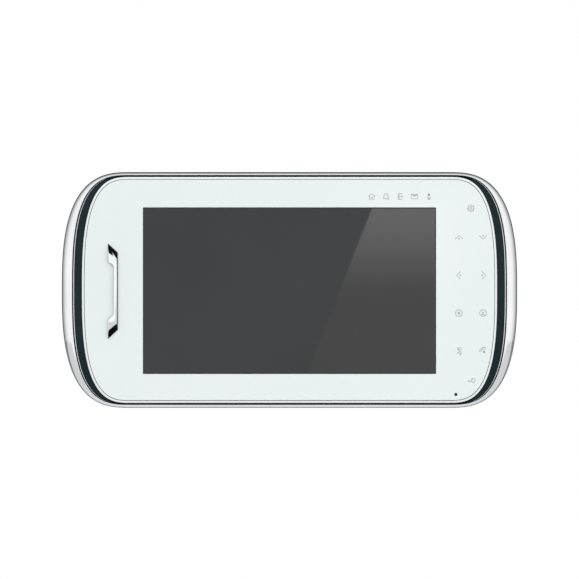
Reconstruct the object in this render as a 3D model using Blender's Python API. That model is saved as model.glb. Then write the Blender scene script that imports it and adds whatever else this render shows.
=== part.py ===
"""Wall-mounted seven-inch video intercom monitor.

Frame: +Z up, +X to the right of someone facing the screen, and the screen faces -Y.
The origin lies on the wall plane, at the middle of the wall bracket's back.
A depth below is a distance from the wall, so a point at depth d has y = -d.
"""
import math

import bmesh
import bpy
from mathutils import Matrix, Vector

MM = 0.001
FIT = 0.3 * MM                      # gap between pieces that touch or slide

# Overall size and the shared outline: straight top and bottom, full round ends
BODY_WIDTH = 242.6 * MM
BODY_HEIGHT = 125.6 * MM
BODY_DEPTH = 28.0 * MM              # wall plane to the front panel's face
CORNER_REACH = 36.5 * MM            # how far the curved ends run in from the sides
CORNER_STEPS = 16
FRAME_FULLNESS = 2.78               # exponent of each outline's rounded end
BAND_FULLNESS = 3.0
BEZEL_FULLNESS = 2.87

# Visible widths of the nested rings, at the sides and at the top
FRAME_SIDE, FRAME_TOP = 6.9 * MM, 1.7 * MM
BAND_SIDE, BAND_TOP = 4.3 * MM, 1.26 * MM
RIM_SIDE, RIM_TOP = 1.2 * MM, 1.1 * MM

# Walls and depths
SHELL_WALL = 2.2 * MM
BEZEL_WALL = 2.0 * MM
PANEL_THICK = 1.8 * MM
BEZEL_FLOOR = 1.8 * MM
SPLIT_DEPTH = 14.0 * MM             # rim of the rear housing
RIM_DROP = 0.5 * MM                 # bezel rim below the panel's face
RIM_ROUND = 0.6 * MM
PANEL_ROUND = 0.25 * MM
CLAMP_LIP = 1.3 * MM                # chrome lip held under the bezel's flange
BEZEL_FLANGE = 1.5 * MM
FRAME_RISE = 24.8 * MM              # depth of the chrome frame's crest
FRAME_EDGE = 17.5 * MM              # depth where the chrome frame is widest
FRAME_UNDERCUT = 0.9 * MM
BAND_INNER_RISE = 25.6 * MM
BAND_OUTER_RISE = 24.0 * MM

# Rear housing
WALL_GAP = 0.5 * MM
BACK_INSET_SIDE, BACK_INSET_TOP = 6.8 * MM, 4.8 * MM
BACK_ROUND = 5.5 * MM
FLANGE_START = 9.5 * MM             # depth where the flare under the frame begins
FLANGE_THICK = 2.0 * MM

# Screen
WINDOW_WIDTH = 155.6 * MM
WINDOW_HEIGHT = 88.4 * MM
WINDOW_DROP = 0.4 * MM
WINDOW_FLANGE = 2.6 * MM
WINDOW_FLANGE_THICK = 0.8 * MM
ACTIVE_WIDTH = 154.1 * MM
ACTIVE_HEIGHT = 85.9 * MM
LCD_WIDTH = 164.9 * MM
LCD_HEIGHT = 100.0 * MM
LCD_THICK = 5.7 * MM
LCD_SHEET = 0.6 * MM
LCD_GLASS_THICK = 1.2 * MM
GASKET_THICK = 0.7 * MM
GASKET_WIDTH = 2.6 * MM
LCD_BRACKET_WIDTH = 6.0 * MM
LCD_BRACKET_THICK = 1.0 * MM

# Main board and what it carries
BOARD_THICK = 1.6 * MM
BOARD_WIDTH = 80.0 * MM
BOARD_DEPTH = 12.0 * MM             # depth of its rear face
BOARD_HOLE_INSET = 6.0 * MM
BOARD_EDGE_GAP = 1.5 * MM
HEADER_COUNT = 4
HEADER_PITCH = 16.0 * MM
HEADER_WIDTH, HEADER_HEIGHT, HEADER_LENGTH = 12.4 * MM, 5.8 * MM, 6.2 * MM
HEADER_WALL = 0.9 * MM
HEADER_FLOOR = 2.0 * MM
TERMINAL_Z = -19.0 * MM
TERMINAL_HEIGHT = 13.0 * MM
TERMINAL_WIDTH = 63.0 * MM
CHIP_SIZE, CHIP_THICK = 17.0 * MM, 1.6 * MM
CHIP_X, CHIP_Z = 14.0 * MM, 25.0 * MM

# Wall bracket and its hooks
PLATE_THICK = 1.2 * MM
PLATE_WIDTH = 100.0 * MM
PLATE_TOP, PLATE_BOTTOM = 44.0 * MM, -42.0 * MM
PLATE_CORNER = 4.0 * MM
HOOK_X = 40.0 * MM
HOOK_ROWS = (30.0 * MM, -12.0 * MM)  # top face of each hook's neck
HOOK_WIDTH = 9.0 * MM
HOOK_TIP = 5.0 * MM
LIFT_TRAVEL = 6.0 * MM
CABLE_HOLE_HEIGHT = 24.0 * MM
SCREW_SLOT_LENGTH, SCREW_SLOT_WIDTH = 9.0 * MM, 3.8 * MM
SCREW_SLOT_X = 18.0 * MM
SCREW_SLOT_UP, SCREW_SLOT_DOWN = 36.0 * MM, -36.5 * MM
RECESS_MARGIN = 2.0 * MM
RECESS_GAP = 2.0 * MM               # plate's front face to the recess floor
RECESS_FLOOR = 2.0 * MM

# Speaker, facing the wall behind its grille
SPEAKER_X = -80.0 * MM
SPEAKER_RADIUS = 18.0 * MM
MAGNET_RADIUS, MAGNET_THICK = 10.0 * MM, 2.7 * MM
GRILLE_RADIUS = 14.5 * MM
GRILLE_PITCH, GRILLE_SLOT = 4.0 * MM, 1.8 * MM
SPEAKER_GASKET, SPEAKER_FLANGE = 0.8 * MM, 0.9 * MM
BASKET_WALL = 0.8 * MM

# Touch keys, indicator lights, microphone, power supply, power switch
TOUCH_THICK = 1.6 * MM
TOUCH_REACH = 52.0 * MM
TOUCH_NOTCH = 44.5 * MM
INDICATOR_LEFT, INDICATOR_RIGHT = 38.5 * MM, 75.5 * MM
INDICATOR_HEIGHT, INDICATOR_THICK = 6.6 * MM, 1.2 * MM
MIC_X = 88.3 * MM
MIC_IN = 2.34 * MM                  # inside the bezel's bottom wall
MIC_GASKET = 0.4 * MM
MIC_RADIUS, MIC_LENGTH, MIC_HOLE = 1.9 * MM, 1.5 * MM, 0.85 * MM
POWER_X = 82.0 * MM
POWER_WIDTH, POWER_HEIGHT, POWER_DEPTH = 30.0 * MM, 52.0 * MM, 9.0 * MM
VENT_COUNT, VENT_PITCH, VENT_SLOT, VENT_LENGTH = 7, 4.4 * MM, 1.8 * MM, 22.0 * MM
SWITCH_X, SWITCH_DEPTH = 10.0 * MM, 8.0 * MM
SWITCH_WIDTH, SWITCH_HEIGHT, SWITCH_LENGTH = 12.0 * MM, 7.0 * MM, 5.4 * MM
SLIDER_WIDTH, SLIDER_THICK, SLIDER_PROUD = 3.0 * MM, 2.2 * MM, 1.2 * MM
SLIDER_ENTRY = 1.0 * MM
SWITCH_TRAVEL = 2.5 * MM

# Handset-shaped trim on the panel
TRIM_X = -91.25 * MM
TRIM_Z = -0.65 * MM
TRIM_WIDTH, TRIM_LENGTH = 4.95 * MM, 50.1 * MM
TRIM_BAR = 2.05 * MM
TRIM_FOOT, TRIM_SLANT, TRIM_CURVE = 9.9 * MM, 4.6 * MM, 3.0 * MM
TRIM_THICK = 1.6 * MM
PEG_RADIUS, PEG_LENGTH, PEG_Z = 0.9 * MM, 3.2 * MM, 18.0 * MM

# Screws: shank radius, head radius, head height
HOUSING_SCREW = (1.4 * MM, 2.8 * MM, 2.0 * MM)
BOARD_SCREW = (1.0 * MM, 2.2 * MM, 1.6 * MM)
SMALL_SCREW = (0.8 * MM, 1.7 * MM, 1.1 * MM)
CLAMP_SCREW = (0.9 * MM, 3.6 * MM, 1.0 * MM)
HOUSING_SCREW_OUT = 5.55 * MM       # beyond the display module's side
HOUSING_SCREW_Z = 48.5 * MM
HEAD_SEAT = 5.2 * MM                # depth of the housing screws' seats
EDGE_BOSS_IN = 3.84 * MM            # inside the bezel's top and bottom walls
BOSS_WALL = 1.5 * MM
HEAD_ROOM = 0.5 * MM                # round a housing screw's head
HOUSING_SCREW_LENGTH = 15.0 * MM
BOARD_SCREW_LENGTH = 6.0 * MM
STRIP_SCREW_LENGTH = 5.0 * MM
POWER_SCREW_LENGTH = 5.0 * MM
TOUCH_SCREW_LENGTH = 3.4 * MM

# Flat cables: film, width and the places that their routes pass
RIBBON_FILM = 0.3 * MM
DISPLAY_RIBBON_HALF = 15.0 * MM
DISPLAY_RIBBON_TOP, DISPLAY_RIBBON_LOW = -34.0 * MM, -38.0 * MM
DISPLAY_RIBBON_FOLD = 13.0 * MM     # above the casing's bottom
TOUCH_RIBBON_SPAN = (30.0 * MM, 42.0 * MM)

# Positions that follow from the sizes above
STRAIGHT = BODY_WIDTH / 2 - CORNER_REACH
PANEL_BACK = BODY_DEPTH - PANEL_THICK
FLOOR_FRONT = PANEL_BACK - FIT
FLOOR_BACK = FLOOR_FRONT - BEZEL_FLOOR
GASKET_FRONT = FLOOR_BACK - FIT
LCD_FRONT = GASKET_FRONT - GASKET_THICK - FIT
LCD_BACK = LCD_FRONT - LCD_THICK
STRIP_BACK = LCD_BACK - FIT - LCD_BRACKET_THICK
BOARD_FRONT = BOARD_DEPTH + BOARD_THICK
LIP_BOTTOM = SPLIT_DEPTH + FIT
FLANGE_BOTTOM = LIP_BOTTOM + CLAMP_LIP + FIT
FLANGE_TOP = FLANGE_BOTTOM + BEZEL_FLANGE
BACK_INSIDE = WALL_GAP + SHELL_WALL
RECESS_INNER = PLATE_THICK + RECESS_GAP
RECESS_BACK = RECESS_INNER + RECESS_FLOOR
LCD_EDGE_BOSS_X = LCD_WIDTH / 2 - LCD_BRACKET_WIDTH / 2
HOUSING_SCREW_X = LCD_WIDTH / 2 + HOUSING_SCREW_OUT
TRAY_HALF_HEIGHT = BODY_HEIGHT / 2 - FRAME_TOP - BAND_TOP - BEZEL_WALL
EDGE_BOSS_Z = TRAY_HALF_HEIGHT - EDGE_BOSS_IN
MIC_Z = -(TRAY_HALF_HEIGHT - MIC_IN)
BOARD_BOSS_X = BOARD_WIDTH / 2 - BOARD_HOLE_INSET
TOUCH_FRONT = FLOOR_BACK - FIT
TOUCH_BACK = TOUCH_FRONT - TOUCH_THICK

# Finishes: colour, roughness, metallic
FINISHES = {
    "gloss_white": ((0.90, 0.93, 0.93, 1), 0.12, 0.0),
    "white_moulding": ((0.86, 0.88, 0.88, 1), 0.35, 0.0),
    "dark_glass": ((0.06, 0.06, 0.065, 1), 0.05, 0.0),
    "gloss_black": ((0.02, 0.035, 0.04, 1), 0.10, 0.0),
    "chrome": ((0.85, 0.86, 0.87, 1), 0.05, 1.0),
    "zinc_steel": ((0.62, 0.63, 0.64, 1), 0.35, 1.0),
    "circuit_board": ((0.02, 0.16, 0.07, 1), 0.45, 0.0),
    "black_plastic": ((0.03, 0.03, 0.03, 1), 0.5, 0.0),
    "ivory_plastic": ((0.80, 0.76, 0.64, 1), 0.45, 0.0),
    "foam": ((0.05, 0.05, 0.05, 1), 0.95, 0.0),
    "amber_film": ((0.55, 0.30, 0.06, 1), 0.35, 0.0),
    "paper_cone": ((0.04, 0.04, 0.045, 1), 0.85, 0.0),
}


# ---------------------------------------------------------------- outlines

# An outline is (half width, half height, fullness of its rounded ends).

def inset(shape, across, upward=None):
    """The outline moved inwards at the sides and at the top."""
    upward = across if upward is None else upward
    return (shape[0] - across, shape[1] - upward, shape[2])


def blend(first, second, share):
    """An outline part of the way from one to another."""
    return tuple(a + (b - a) * share for a, b in zip(first, second))


FRAME_OUT = (BODY_WIDTH / 2, BODY_HEIGHT / 2, FRAME_FULLNESS)
BAND_OUT = inset(FRAME_OUT, FRAME_SIDE, FRAME_TOP)[:2] + (BAND_FULLNESS,)
BEZEL_OUT = inset(BAND_OUT, BAND_SIDE, BAND_TOP)[:2] + (BEZEL_FULLNESS,)
BEZEL_IN = inset(BEZEL_OUT, BEZEL_WALL)
PANEL_OUT = inset(BEZEL_OUT, RIM_SIDE, RIM_TOP)
TUB_OUT = inset(BEZEL_OUT, FIT, 0.5 * MM)
RIM_OUT = inset(FRAME_OUT, FRAME_UNDERCUT, FRAME_UNDERCUT / 2)


def outline(shape, depth):
    """One closed loop of the outline at a depth."""
    half_width, half_height, fullness = shape
    reach = half_width - STRAIGHT
    quarter = []
    for step in range(CORNER_STEPS + 1):
        angle = math.pi / 2 * step / CORNER_STEPS
        across = max(math.cos(angle), 0.0) ** (2 / fullness)
        up = math.sin(angle) ** (2 / fullness)
        quarter.append((STRAIGHT + reach * across, half_height * up))
    loop = list(quarter)
    loop += [(-x, z) for x, z in reversed(quarter)]
    loop += [(-x, -z) for x, z in quarter[1:]]
    loop += [(x, -z) for x, z in reversed(quarter[1:])]
    return [Vector((x, -depth, z)) for x, z in loop]


def outline_x(shape, z):
    """Half width of an outline at height z."""
    half_width, half_height, fullness = shape
    share = (1 - (abs(z) / half_height) ** fullness) ** (1 / fullness)
    return STRAIGHT + (half_width - STRAIGHT) * share


def rectangle(centre_x, centre_z, width, height, depth, corner=0.0, steps=4):
    """A loop of a rectangle, with rounded corners if corner is not zero."""
    loop = []
    for turn, (sx, sz) in enumerate(((1, 1), (-1, 1), (-1, -1), (1, -1))):
        cx = centre_x + sx * (width / 2 - corner)
        cz = centre_z + sz * (height / 2 - corner)
        if corner == 0:
            loop.append(Vector((cx, -depth, cz)))
            continue
        for step in range(steps + 1):
            angle = math.pi / 2 * (turn + step / steps)
            x = cx + corner * math.cos(angle)
            z = cz + corner * math.sin(angle)
            loop.append(Vector((x, -depth, z)))
    return loop


def circle(centre_x, centre_z, radius, depth, sides=20):
    """A loop of a circle facing the wall."""
    angles = [2 * math.pi * step / sides for step in range(sides)]
    return [
        Vector((centre_x + radius * math.cos(a), -depth, centre_z + radius * math.sin(a)))
        for a in angles
    ]


# ---------------------------------------------------------------- solids

def loft(mesh, loops, closed=False):
    """Skin loops of equal count; capped at both ends, or closed round into a ring."""
    rows = [[mesh.verts.new(point) for point in loop] for loop in loops]
    pairs = list(zip(rows, rows[1:]))
    if closed:
        pairs.append((rows[-1], rows[0]))
    faces = []
    for low, high in pairs:
        count = len(low)
        for i in range(count):
            j = (i + 1) % count
            faces.append(mesh.faces.new((low[i], low[j], high[j], high[i])))
    if not closed:
        faces.append(mesh.faces.new(list(reversed(rows[0]))))
        faces.append(mesh.faces.new(rows[-1]))
    bmesh.ops.recalc_face_normals(mesh, faces=faces)


def box(mesh, x_span, depth_span, z_span):
    """A straight box between two limits each way."""
    centre_x, centre_z = sum(x_span) / 2, sum(z_span) / 2
    width, height = x_span[1] - x_span[0], z_span[1] - z_span[0]
    loft(mesh, [rectangle(centre_x, centre_z, width, height, d) for d in depth_span])


def turned(mesh, centre_x, centre_z, profile, sides=20):
    """A solid turned about an axis towards the wall, from (radius, depth) pairs."""
    loft(mesh, [circle(centre_x, centre_z, r, d, sides) for r, d in profile])


def turned_ring(mesh, centre_x, centre_z, profile, sides=32):
    """A ring turned from a closed (radius, depth) profile."""
    loft(mesh, [circle(centre_x, centre_z, r, d, sides) for r, d in profile], closed=True)


def prism(mesh, points, low, high, axis):
    """A flat polygon of (a, b) points extruded along X (b is depth) or Z (a is X)."""
    def place(a, b, height):
        return Vector((height, -b, a)) if axis == "X" else Vector((a, -b, height))
    loft(mesh, [[place(a, b, height) for a, b in points] for height in (low, high)])


def ribbon_points(path, thickness):
    """Outline of a thin strip that follows a path of (a, b) points."""
    left, right = [], []
    for i, point in enumerate(path):
        before = Vector(path[max(i - 1, 0)])
        after = Vector(path[min(i + 1, len(path) - 1)])
        along = (after - before).normalized()
        normal = Vector((-along.y, along.x)) * thickness / 2
        left.append(tuple(Vector(point) + normal))
        right.append(tuple(Vector(point) - normal))
    return left + right[::-1]


# ---------------------------------------------------------------- nodes

def finish_material(name):
    """The Principled material of a finish, made once."""
    if name in bpy.data.materials:
        return bpy.data.materials[name]
    colour, roughness, metallic = FINISHES[name]
    material = bpy.data.materials.new(name)
    material.use_nodes = True
    shader = material.node_tree.nodes["Principled BSDF"]
    shader.inputs["Base Color"].default_value = colour
    shader.inputs["Roughness"].default_value = roughness
    shader.inputs["Metallic"].default_value = metallic
    material.diffuse_color = colour
    return material


def link(name, data, parent, location=(0, 0, 0)):
    """Put mesh data in the scene under a parent, at a place in the row frame."""
    item = bpy.data.objects.new(name, data)
    bpy.context.scene.collection.objects.link(item)
    item.location = Vector(location)
    if parent is not None:
        item.parent = parent
        item.matrix_parent_inverse = Matrix.Translation(-parent.location)
    return item


def node(name, finish, parent, build, steps=(), location=(0, 0, 0)):
    """One named piece: a mesh from build(mesh), then Boolean steps (operation, build)."""
    mesh = bmesh.new()
    build(mesh)
    data = bpy.data.meshes.new(name)
    mesh.to_mesh(data)
    mesh.free()
    data.materials.append(finish_material(finish))
    data.shade_smooth()
    data.set_sharp_from_angle(angle=math.radians(30))
    item = link(name, data, parent, location)
    for number, (operation, cut) in enumerate(steps):
        tool_mesh = bmesh.new()
        cut(tool_mesh)
        tool_data = bpy.data.meshes.new(f"{name}_tool_{number}")
        tool_mesh.to_mesh(tool_data)
        tool_mesh.free()
        tool = link(f"{name}_tool_{number}", tool_data, parent, location)
        tool.hide_render = True
        tool.display_type = "WIRE"
        modifier = item.modifiers.new(f"step_{number}", "BOOLEAN")
        modifier.operation = operation
        modifier.solver = "EXACT"
        modifier.object = tool
    return item


def copies(name, finish, parent, build, places):
    """The same small piece at several (suffix, x, z) places, sharing one mesh."""
    made = None
    for suffix, x, z in places:
        if made is None:
            made = node(f"{name}_{suffix}", finish, parent, build, location=(x, 0, z))
        else:
            link(f"{name}_{suffix}", made.data, parent, (x, 0, z))


def screw_from_rear(size, face, length):
    """A screw driven towards the panel, its head just clear of a rear face."""
    shank, head, height = size
    seat = face - FIT
    profile = [(head * 0.75, seat - height), (head, seat - height / 2), (head, seat),
               (shank, seat), (shank, seat + length)]
    return lambda mesh: turned(mesh, 0, 0, profile, sides=14)


def screw_from_front(size, face, length):
    """A screw driven towards the wall, its head just clear of a front face."""
    shank, head, height = size
    seat = face + FIT
    profile = [(shank, seat - length), (shank, seat), (head, seat),
               (head, seat + height / 2), (head * 0.75, seat + height)]
    return lambda mesh: turned(mesh, 0, 0, profile, sides=14)


def corners(x, z):
    """Four mirrored places with their names."""
    return [("top_left", -x, z), ("top_right", x, z),
            ("bottom_left", -x, -z), ("bottom_right", x, -z)]


# ---------------------------------------------------------------- wall bracket

def wall_bracket(root):
    """Steel plate with four L hooks, a cable hole and slots for wall screws."""
    def plate(mesh):
        centre_z = (PLATE_TOP + PLATE_BOTTOM) / 2
        height = PLATE_TOP - PLATE_BOTTOM
        loops = [rectangle(0, centre_z, PLATE_WIDTH, height, depth, PLATE_CORNER)
                 for depth in (0, PLATE_THICK)]
        loft(mesh, loops)

    def hooks(mesh):
        reach = RECESS_BACK + FIT + PLATE_THICK
        for row in HOOK_ROWS:
            for sign in (-1, 1):
                low, high = sign * HOOK_X - HOOK_WIDTH / 2, sign * HOOK_X + HOOK_WIDTH / 2
                points = [(row - PLATE_THICK, PLATE_THICK / 2), (row - PLATE_THICK, reach),
                          (row + HOOK_TIP, reach), (row + HOOK_TIP, reach - PLATE_THICK),
                          (row, reach - PLATE_THICK), (row, PLATE_THICK / 2)]
                prism(mesh, points, low, high, "X")

    def holes(mesh):
        through = (-MM, PLATE_THICK + MM)
        box(mesh, (-TERMINAL_WIDTH / 2, TERMINAL_WIDTH / 2), through,
            (TERMINAL_Z - CABLE_HOLE_HEIGHT / 2, TERMINAL_Z + CABLE_HOLE_HEIGHT / 2))
        wide, tall = SCREW_SLOT_WIDTH, SCREW_SLOT_LENGTH
        for x in (-SCREW_SLOT_X, SCREW_SLOT_X):
            for z, width, height in ((SCREW_SLOT_UP, wide, tall), (SCREW_SLOT_DOWN, tall, wide)):
                loft(mesh, [rectangle(x, z, width, height, d, wide / 2 - 0.01 * MM)
                            for d in through])
        for row in HOOK_ROWS:
            top = row - PLATE_THICK - FIT
            for x in (-HOOK_X, HOOK_X):
                box(mesh, (x - HOOK_WIDTH / 2, x + HOOK_WIDTH / 2), through,
                    (top - HOOK_TIP - PLATE_THICK, top))

    node("wall_bracket", "zinc_steel", root, plate, [("UNION", hooks), ("DIFFERENCE", holes)])


# ---------------------------------------------------------------- casing

def tub_loops(tub, back_inset, back_depth, top_depth, steps):
    """Loops of a tub whose back edge is a quarter ellipse."""
    loops = []
    for step in range(steps + 1):
        angle = math.pi / 2 * step / steps
        share = 1 - math.sin(angle)
        depth = top_depth - (top_depth - back_depth) * math.cos(angle)
        shape = inset(tub, back_inset[0] * share, back_inset[1] * share)
        loops.append(outline(shape, depth))
    return loops


def rear_housing(monitor):
    """Rear shell with the bracket recess, screw bosses, grille, vents and switch slot."""
    back_inset = (BACK_INSET_SIDE, BACK_INSET_TOP)
    round_end = WALL_GAP + BACK_ROUND

    def shell(mesh):
        loops = tub_loops(TUB_OUT, back_inset, WALL_GAP, round_end, 5)
        under = SPLIT_DEPTH - FLANGE_THICK
        loops.append(outline(TUB_OUT, FLANGE_START))
        loops.append(outline(blend(TUB_OUT, RIM_OUT, 0.25), under - FLANGE_THICK / 5))
        loops.append(outline(blend(TUB_OUT, RIM_OUT, 0.85), under))
        loops.append(outline(RIM_OUT, under + FLANGE_THICK / 2))
        loops.append(outline(RIM_OUT, SPLIT_DEPTH))
        loft(mesh, loops)

    def cavity(mesh):
        inner = inset(TUB_OUT, SHELL_WALL)
        loops = tub_loops(inner, back_inset, BACK_INSIDE, round_end, 4)
        loops.append(outline(inner, SPLIT_DEPTH + MM))
        loft(mesh, loops)

    recess_top = PLATE_TOP + RECESS_MARGIN
    recess_bottom = PLATE_BOTTOM - LIFT_TRAVEL - RECESS_MARGIN
    recess_half = PLATE_WIDTH / 2 + RECESS_MARGIN

    def additions(mesh):
        wall = RECESS_FLOOR
        box(mesh, (-recess_half - wall, recess_half + wall), (BACK_INSIDE - MM, RECESS_BACK),
            (recess_bottom - wall, recess_top + wall))
        radius = HOUSING_SCREW[1] + HEAD_ROOM + BOSS_WALL
        for _, x, z in corners(HOUSING_SCREW_X, HOUSING_SCREW_Z):
            turned(mesh, x, z, [(radius, BACK_INSIDE - MM), (radius, SPLIT_DEPTH)])
        radius = CLAMP_SCREW[0] + BOSS_WALL
        for z in (-speaker_screw_z(), speaker_screw_z()):
            turned(mesh, SPEAKER_X, z,
                   [(radius, BACK_INSIDE - MM), (radius, speaker_seat() - FIT)])
        radius = BOARD_SCREW[0] + BOSS_WALL
        for z in (-power_screw_z(), power_screw_z()):
            turned(mesh, POWER_X, z, [(radius, BACK_INSIDE - MM), (radius, POWER_DEPTH - FIT)])

    def recess_and_holes(mesh):
        box(mesh, (-recess_half, recess_half), (-MM, RECESS_INNER), (recess_bottom, recess_top))
        head, shank = HOUSING_SCREW[1] + HEAD_ROOM, HOUSING_SCREW[0] + FIT
        for _, x, z in corners(HOUSING_SCREW_X, HOUSING_SCREW_Z):
            turned(mesh, x, z, [(head, -MM), (head, HEAD_SEAT), (shank, HEAD_SEAT),
                                (shank, SPLIT_DEPTH + MM)])
        for z in (-speaker_screw_z(), speaker_screw_z()):
            turned(mesh, SPEAKER_X, z, [(CLAMP_SCREW[0] + FIT, BACK_INSIDE),
                                        (CLAMP_SCREW[0] + FIT, speaker_seat() + MM)], 12)
        for z in (-power_screw_z(), power_screw_z()):
            turned(mesh, POWER_X, z, [(BOARD_SCREW[0] + FIT, BACK_INSIDE),
                                      (BOARD_SCREW[0] + FIT, POWER_DEPTH + MM)], 12)
        through = (-MM, BACK_INSIDE + MM)
        half_count = int(GRILLE_RADIUS / GRILLE_PITCH)
        for number in range(-half_count, half_count + 1):
            x = SPEAKER_X + number * GRILLE_PITCH
            half = math.sqrt(GRILLE_RADIUS ** 2 - (number * GRILLE_PITCH) ** 2)
            box(mesh, (x - GRILLE_SLOT / 2, x + GRILLE_SLOT / 2), through, (-half, half))
        for number in range(VENT_COUNT):
            z = (number - (VENT_COUNT - 1) / 2) * VENT_PITCH
            box(mesh, (POWER_X - VENT_LENGTH / 2, POWER_X + VENT_LENGTH / 2), through,
                (z - VENT_SLOT / 2, z + VENT_SLOT / 2))
        slot_left = SWITCH_X - SLIDER_WIDTH / 2 - FIT
        slot_half = SLIDER_THICK / 2 + FIT
        box(mesh, (slot_left, slot_left + SLIDER_WIDTH + SWITCH_TRAVEL + 2 * FIT),
            (SWITCH_DEPTH - slot_half, SWITCH_DEPTH + slot_half),
            (-TUB_OUT[1] - MM, -TUB_OUT[1] + SHELL_WALL + MM))

    def windows(mesh):
        through = (RECESS_INNER - MM, RECESS_BACK + MM)
        box(mesh, (-TERMINAL_WIDTH / 2, TERMINAL_WIDTH / 2), through,
            (TERMINAL_Z - TERMINAL_HEIGHT / 2, TERMINAL_Z + TERMINAL_HEIGHT / 2))
        slot_height = LIFT_TRAVEL + PLATE_THICK + 3 * FIT
        for row in HOOK_ROWS:
            for x in (-HOOK_X, HOOK_X):
                half = HOOK_WIDTH / 2 + 2 * FIT
                box(mesh, (x - half, x + half), through, (row + FIT - slot_height, row + FIT))

    steps = [("DIFFERENCE", cavity), ("UNION", additions),
             ("DIFFERENCE", recess_and_holes), ("DIFFERENCE", windows)]
    node("rear_housing", "white_moulding", monitor, shell, steps)


def front_bezel(monitor):
    """White tray: rim, panel floor, flange that clamps the frame, and the inner bosses."""
    rim_front = BODY_DEPTH - RIM_DROP
    flange = inset(BAND_OUT, FIT)

    def shell(mesh):
        stations = [(BEZEL_OUT, LIP_BOTTOM), (BEZEL_OUT, FLANGE_BOTTOM), (flange, FLANGE_BOTTOM),
                    (flange, FLANGE_TOP), (BEZEL_OUT, FLANGE_TOP),
                    (BEZEL_OUT, rim_front - RIM_ROUND),
                    (inset(BEZEL_OUT, RIM_ROUND * 0.3), rim_front - RIM_ROUND * 0.3),
                    (inset(BEZEL_OUT, RIM_ROUND), rim_front)]
        loft(mesh, [outline(shape, depth) for shape, depth in stations])

    def hollows(mesh):
        loft(mesh, [outline(BEZEL_IN, depth) for depth in (LIP_BOTTOM - MM, FLOOR_BACK)])
        seat = inset(PANEL_OUT, -FIT)
        loft(mesh, [outline(seat, depth) for depth in (FLOOR_FRONT, BODY_DEPTH + MM)])

    def bosses(mesh):
        root_depth = FLOOR_BACK + BEZEL_FLOOR / 4
        radius = HOUSING_SCREW[0] + FIT + BOSS_WALL
        for _, x, z in corners(HOUSING_SCREW_X, HOUSING_SCREW_Z):
            turned(mesh, x, z, [(radius, root_depth), (radius, LIP_BOTTOM)])
        radius = BOARD_SCREW[0] + FIT + BOSS_WALL * 0.8
        for _, x, z in corners(BOARD_BOSS_X, EDGE_BOSS_Z):
            turned(mesh, x, z, [(radius, root_depth), (radius, BOARD_FRONT + FIT)])
        for _, x, z in corners(LCD_EDGE_BOSS_X, EDGE_BOSS_Z):
            turned(mesh, x, z, [(radius, root_depth), (radius, LCD_BACK)])
        for x in indicator_posts():
            turned(mesh, x, EDGE_BOSS_Z, [(0.7 * MM, root_depth),
                                          (0.7 * MM, FLOOR_BACK - INDICATOR_THICK - 2 * FIT)], 10)

    def holes(mesh):
        for _, x, z in corners(HOUSING_SCREW_X, HOUSING_SCREW_Z):
            turned(mesh, x, z, [(HOUSING_SCREW[0] + FIT, LIP_BOTTOM - MM),
                                (HOUSING_SCREW[0] + FIT, FLOOR_BACK)], 14)
        for boss_x, end in ((BOARD_BOSS_X, BOARD_FRONT), (LCD_EDGE_BOSS_X, LCD_BACK)):
            for _, x, z in corners(boss_x, EDGE_BOSS_Z):
                turned(mesh, x, z, [(BOARD_SCREW[0] + FIT, end - MM),
                                    (BOARD_SCREW[0] + FIT, FLOOR_BACK)], 12)
        through = (FLOOR_BACK - MM, FLOOR_FRONT + MM)
        box(mesh, (-ACTIVE_WIDTH / 2 - MM / 2, ACTIVE_WIDTH / 2 + MM / 2), through,
            (-ACTIVE_HEIGHT / 2 - MM / 2 - WINDOW_DROP, ACTIVE_HEIGHT / 2 + MM / 2 - WINDOW_DROP))
        for x, z in touch_screw_places():
            turned(mesh, x, z, [(SMALL_SCREW[0] + FIT, d) for d in through], 12)
        turned(mesh, MIC_X, MIC_Z, [(MIC_HOLE, d) for d in through], 12)
        for x, z in peg_places():
            turned(mesh, x, z, [(PEG_RADIUS + FIT, d) for d in through], 12)

    node("front_bezel", "white_moulding", monitor, shell,
         [("DIFFERENCE", hollows), ("UNION", bosses), ("DIFFERENCE", holes)])


def side_band(monitor):
    """Gloss black ring between the bezel and the chrome frame."""
    inner, outer = inset(BEZEL_OUT, -FIT), inset(BAND_OUT, FIT)
    middle_depth = BAND_OUTER_RISE + (BAND_INNER_RISE - BAND_OUTER_RISE) * 0.35
    stations = [(inner, FLANGE_TOP + FIT), (inner, BAND_INNER_RISE),
                (blend(inner, outer, 0.5), middle_depth), (outer, BAND_OUTER_RISE),
                (outer, FLANGE_TOP + FIT)]
    node("side_band", "gloss_black", monitor,
         lambda mesh: loft(mesh, [outline(s, d) for s, d in stations], closed=True))


def chrome_frame(monitor):
    """Chromed outer ring, convex in front, with a lip under the bezel's flange."""
    lip = inset(BEZEL_OUT, -FIT)
    lip_top = LIP_BOTTOM + CLAMP_LIP
    stations = [(lip, LIP_BOTTOM), (lip, lip_top), (BAND_OUT, lip_top),
                (BAND_OUT, FRAME_RISE - 0.5 * MM)]
    for share in (0.1, 0.35, 0.58, 0.76, 0.9, 0.98, 1.0):
        fall = 1 - math.sqrt(max(1 - share ** 2, 0))
        depth = FRAME_RISE - (FRAME_RISE - FRAME_EDGE) * fall
        stations.append((blend(BAND_OUT, FRAME_OUT, share), depth))
    stations.append((FRAME_OUT, FRAME_EDGE - MM))
    stations.append((RIM_OUT, LIP_BOTTOM))
    node("chrome_frame", "chrome", monitor,
         lambda mesh: loft(mesh, [outline(s, d) for s, d in stations], closed=True))


# ---------------------------------------------------------------- front panel

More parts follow.
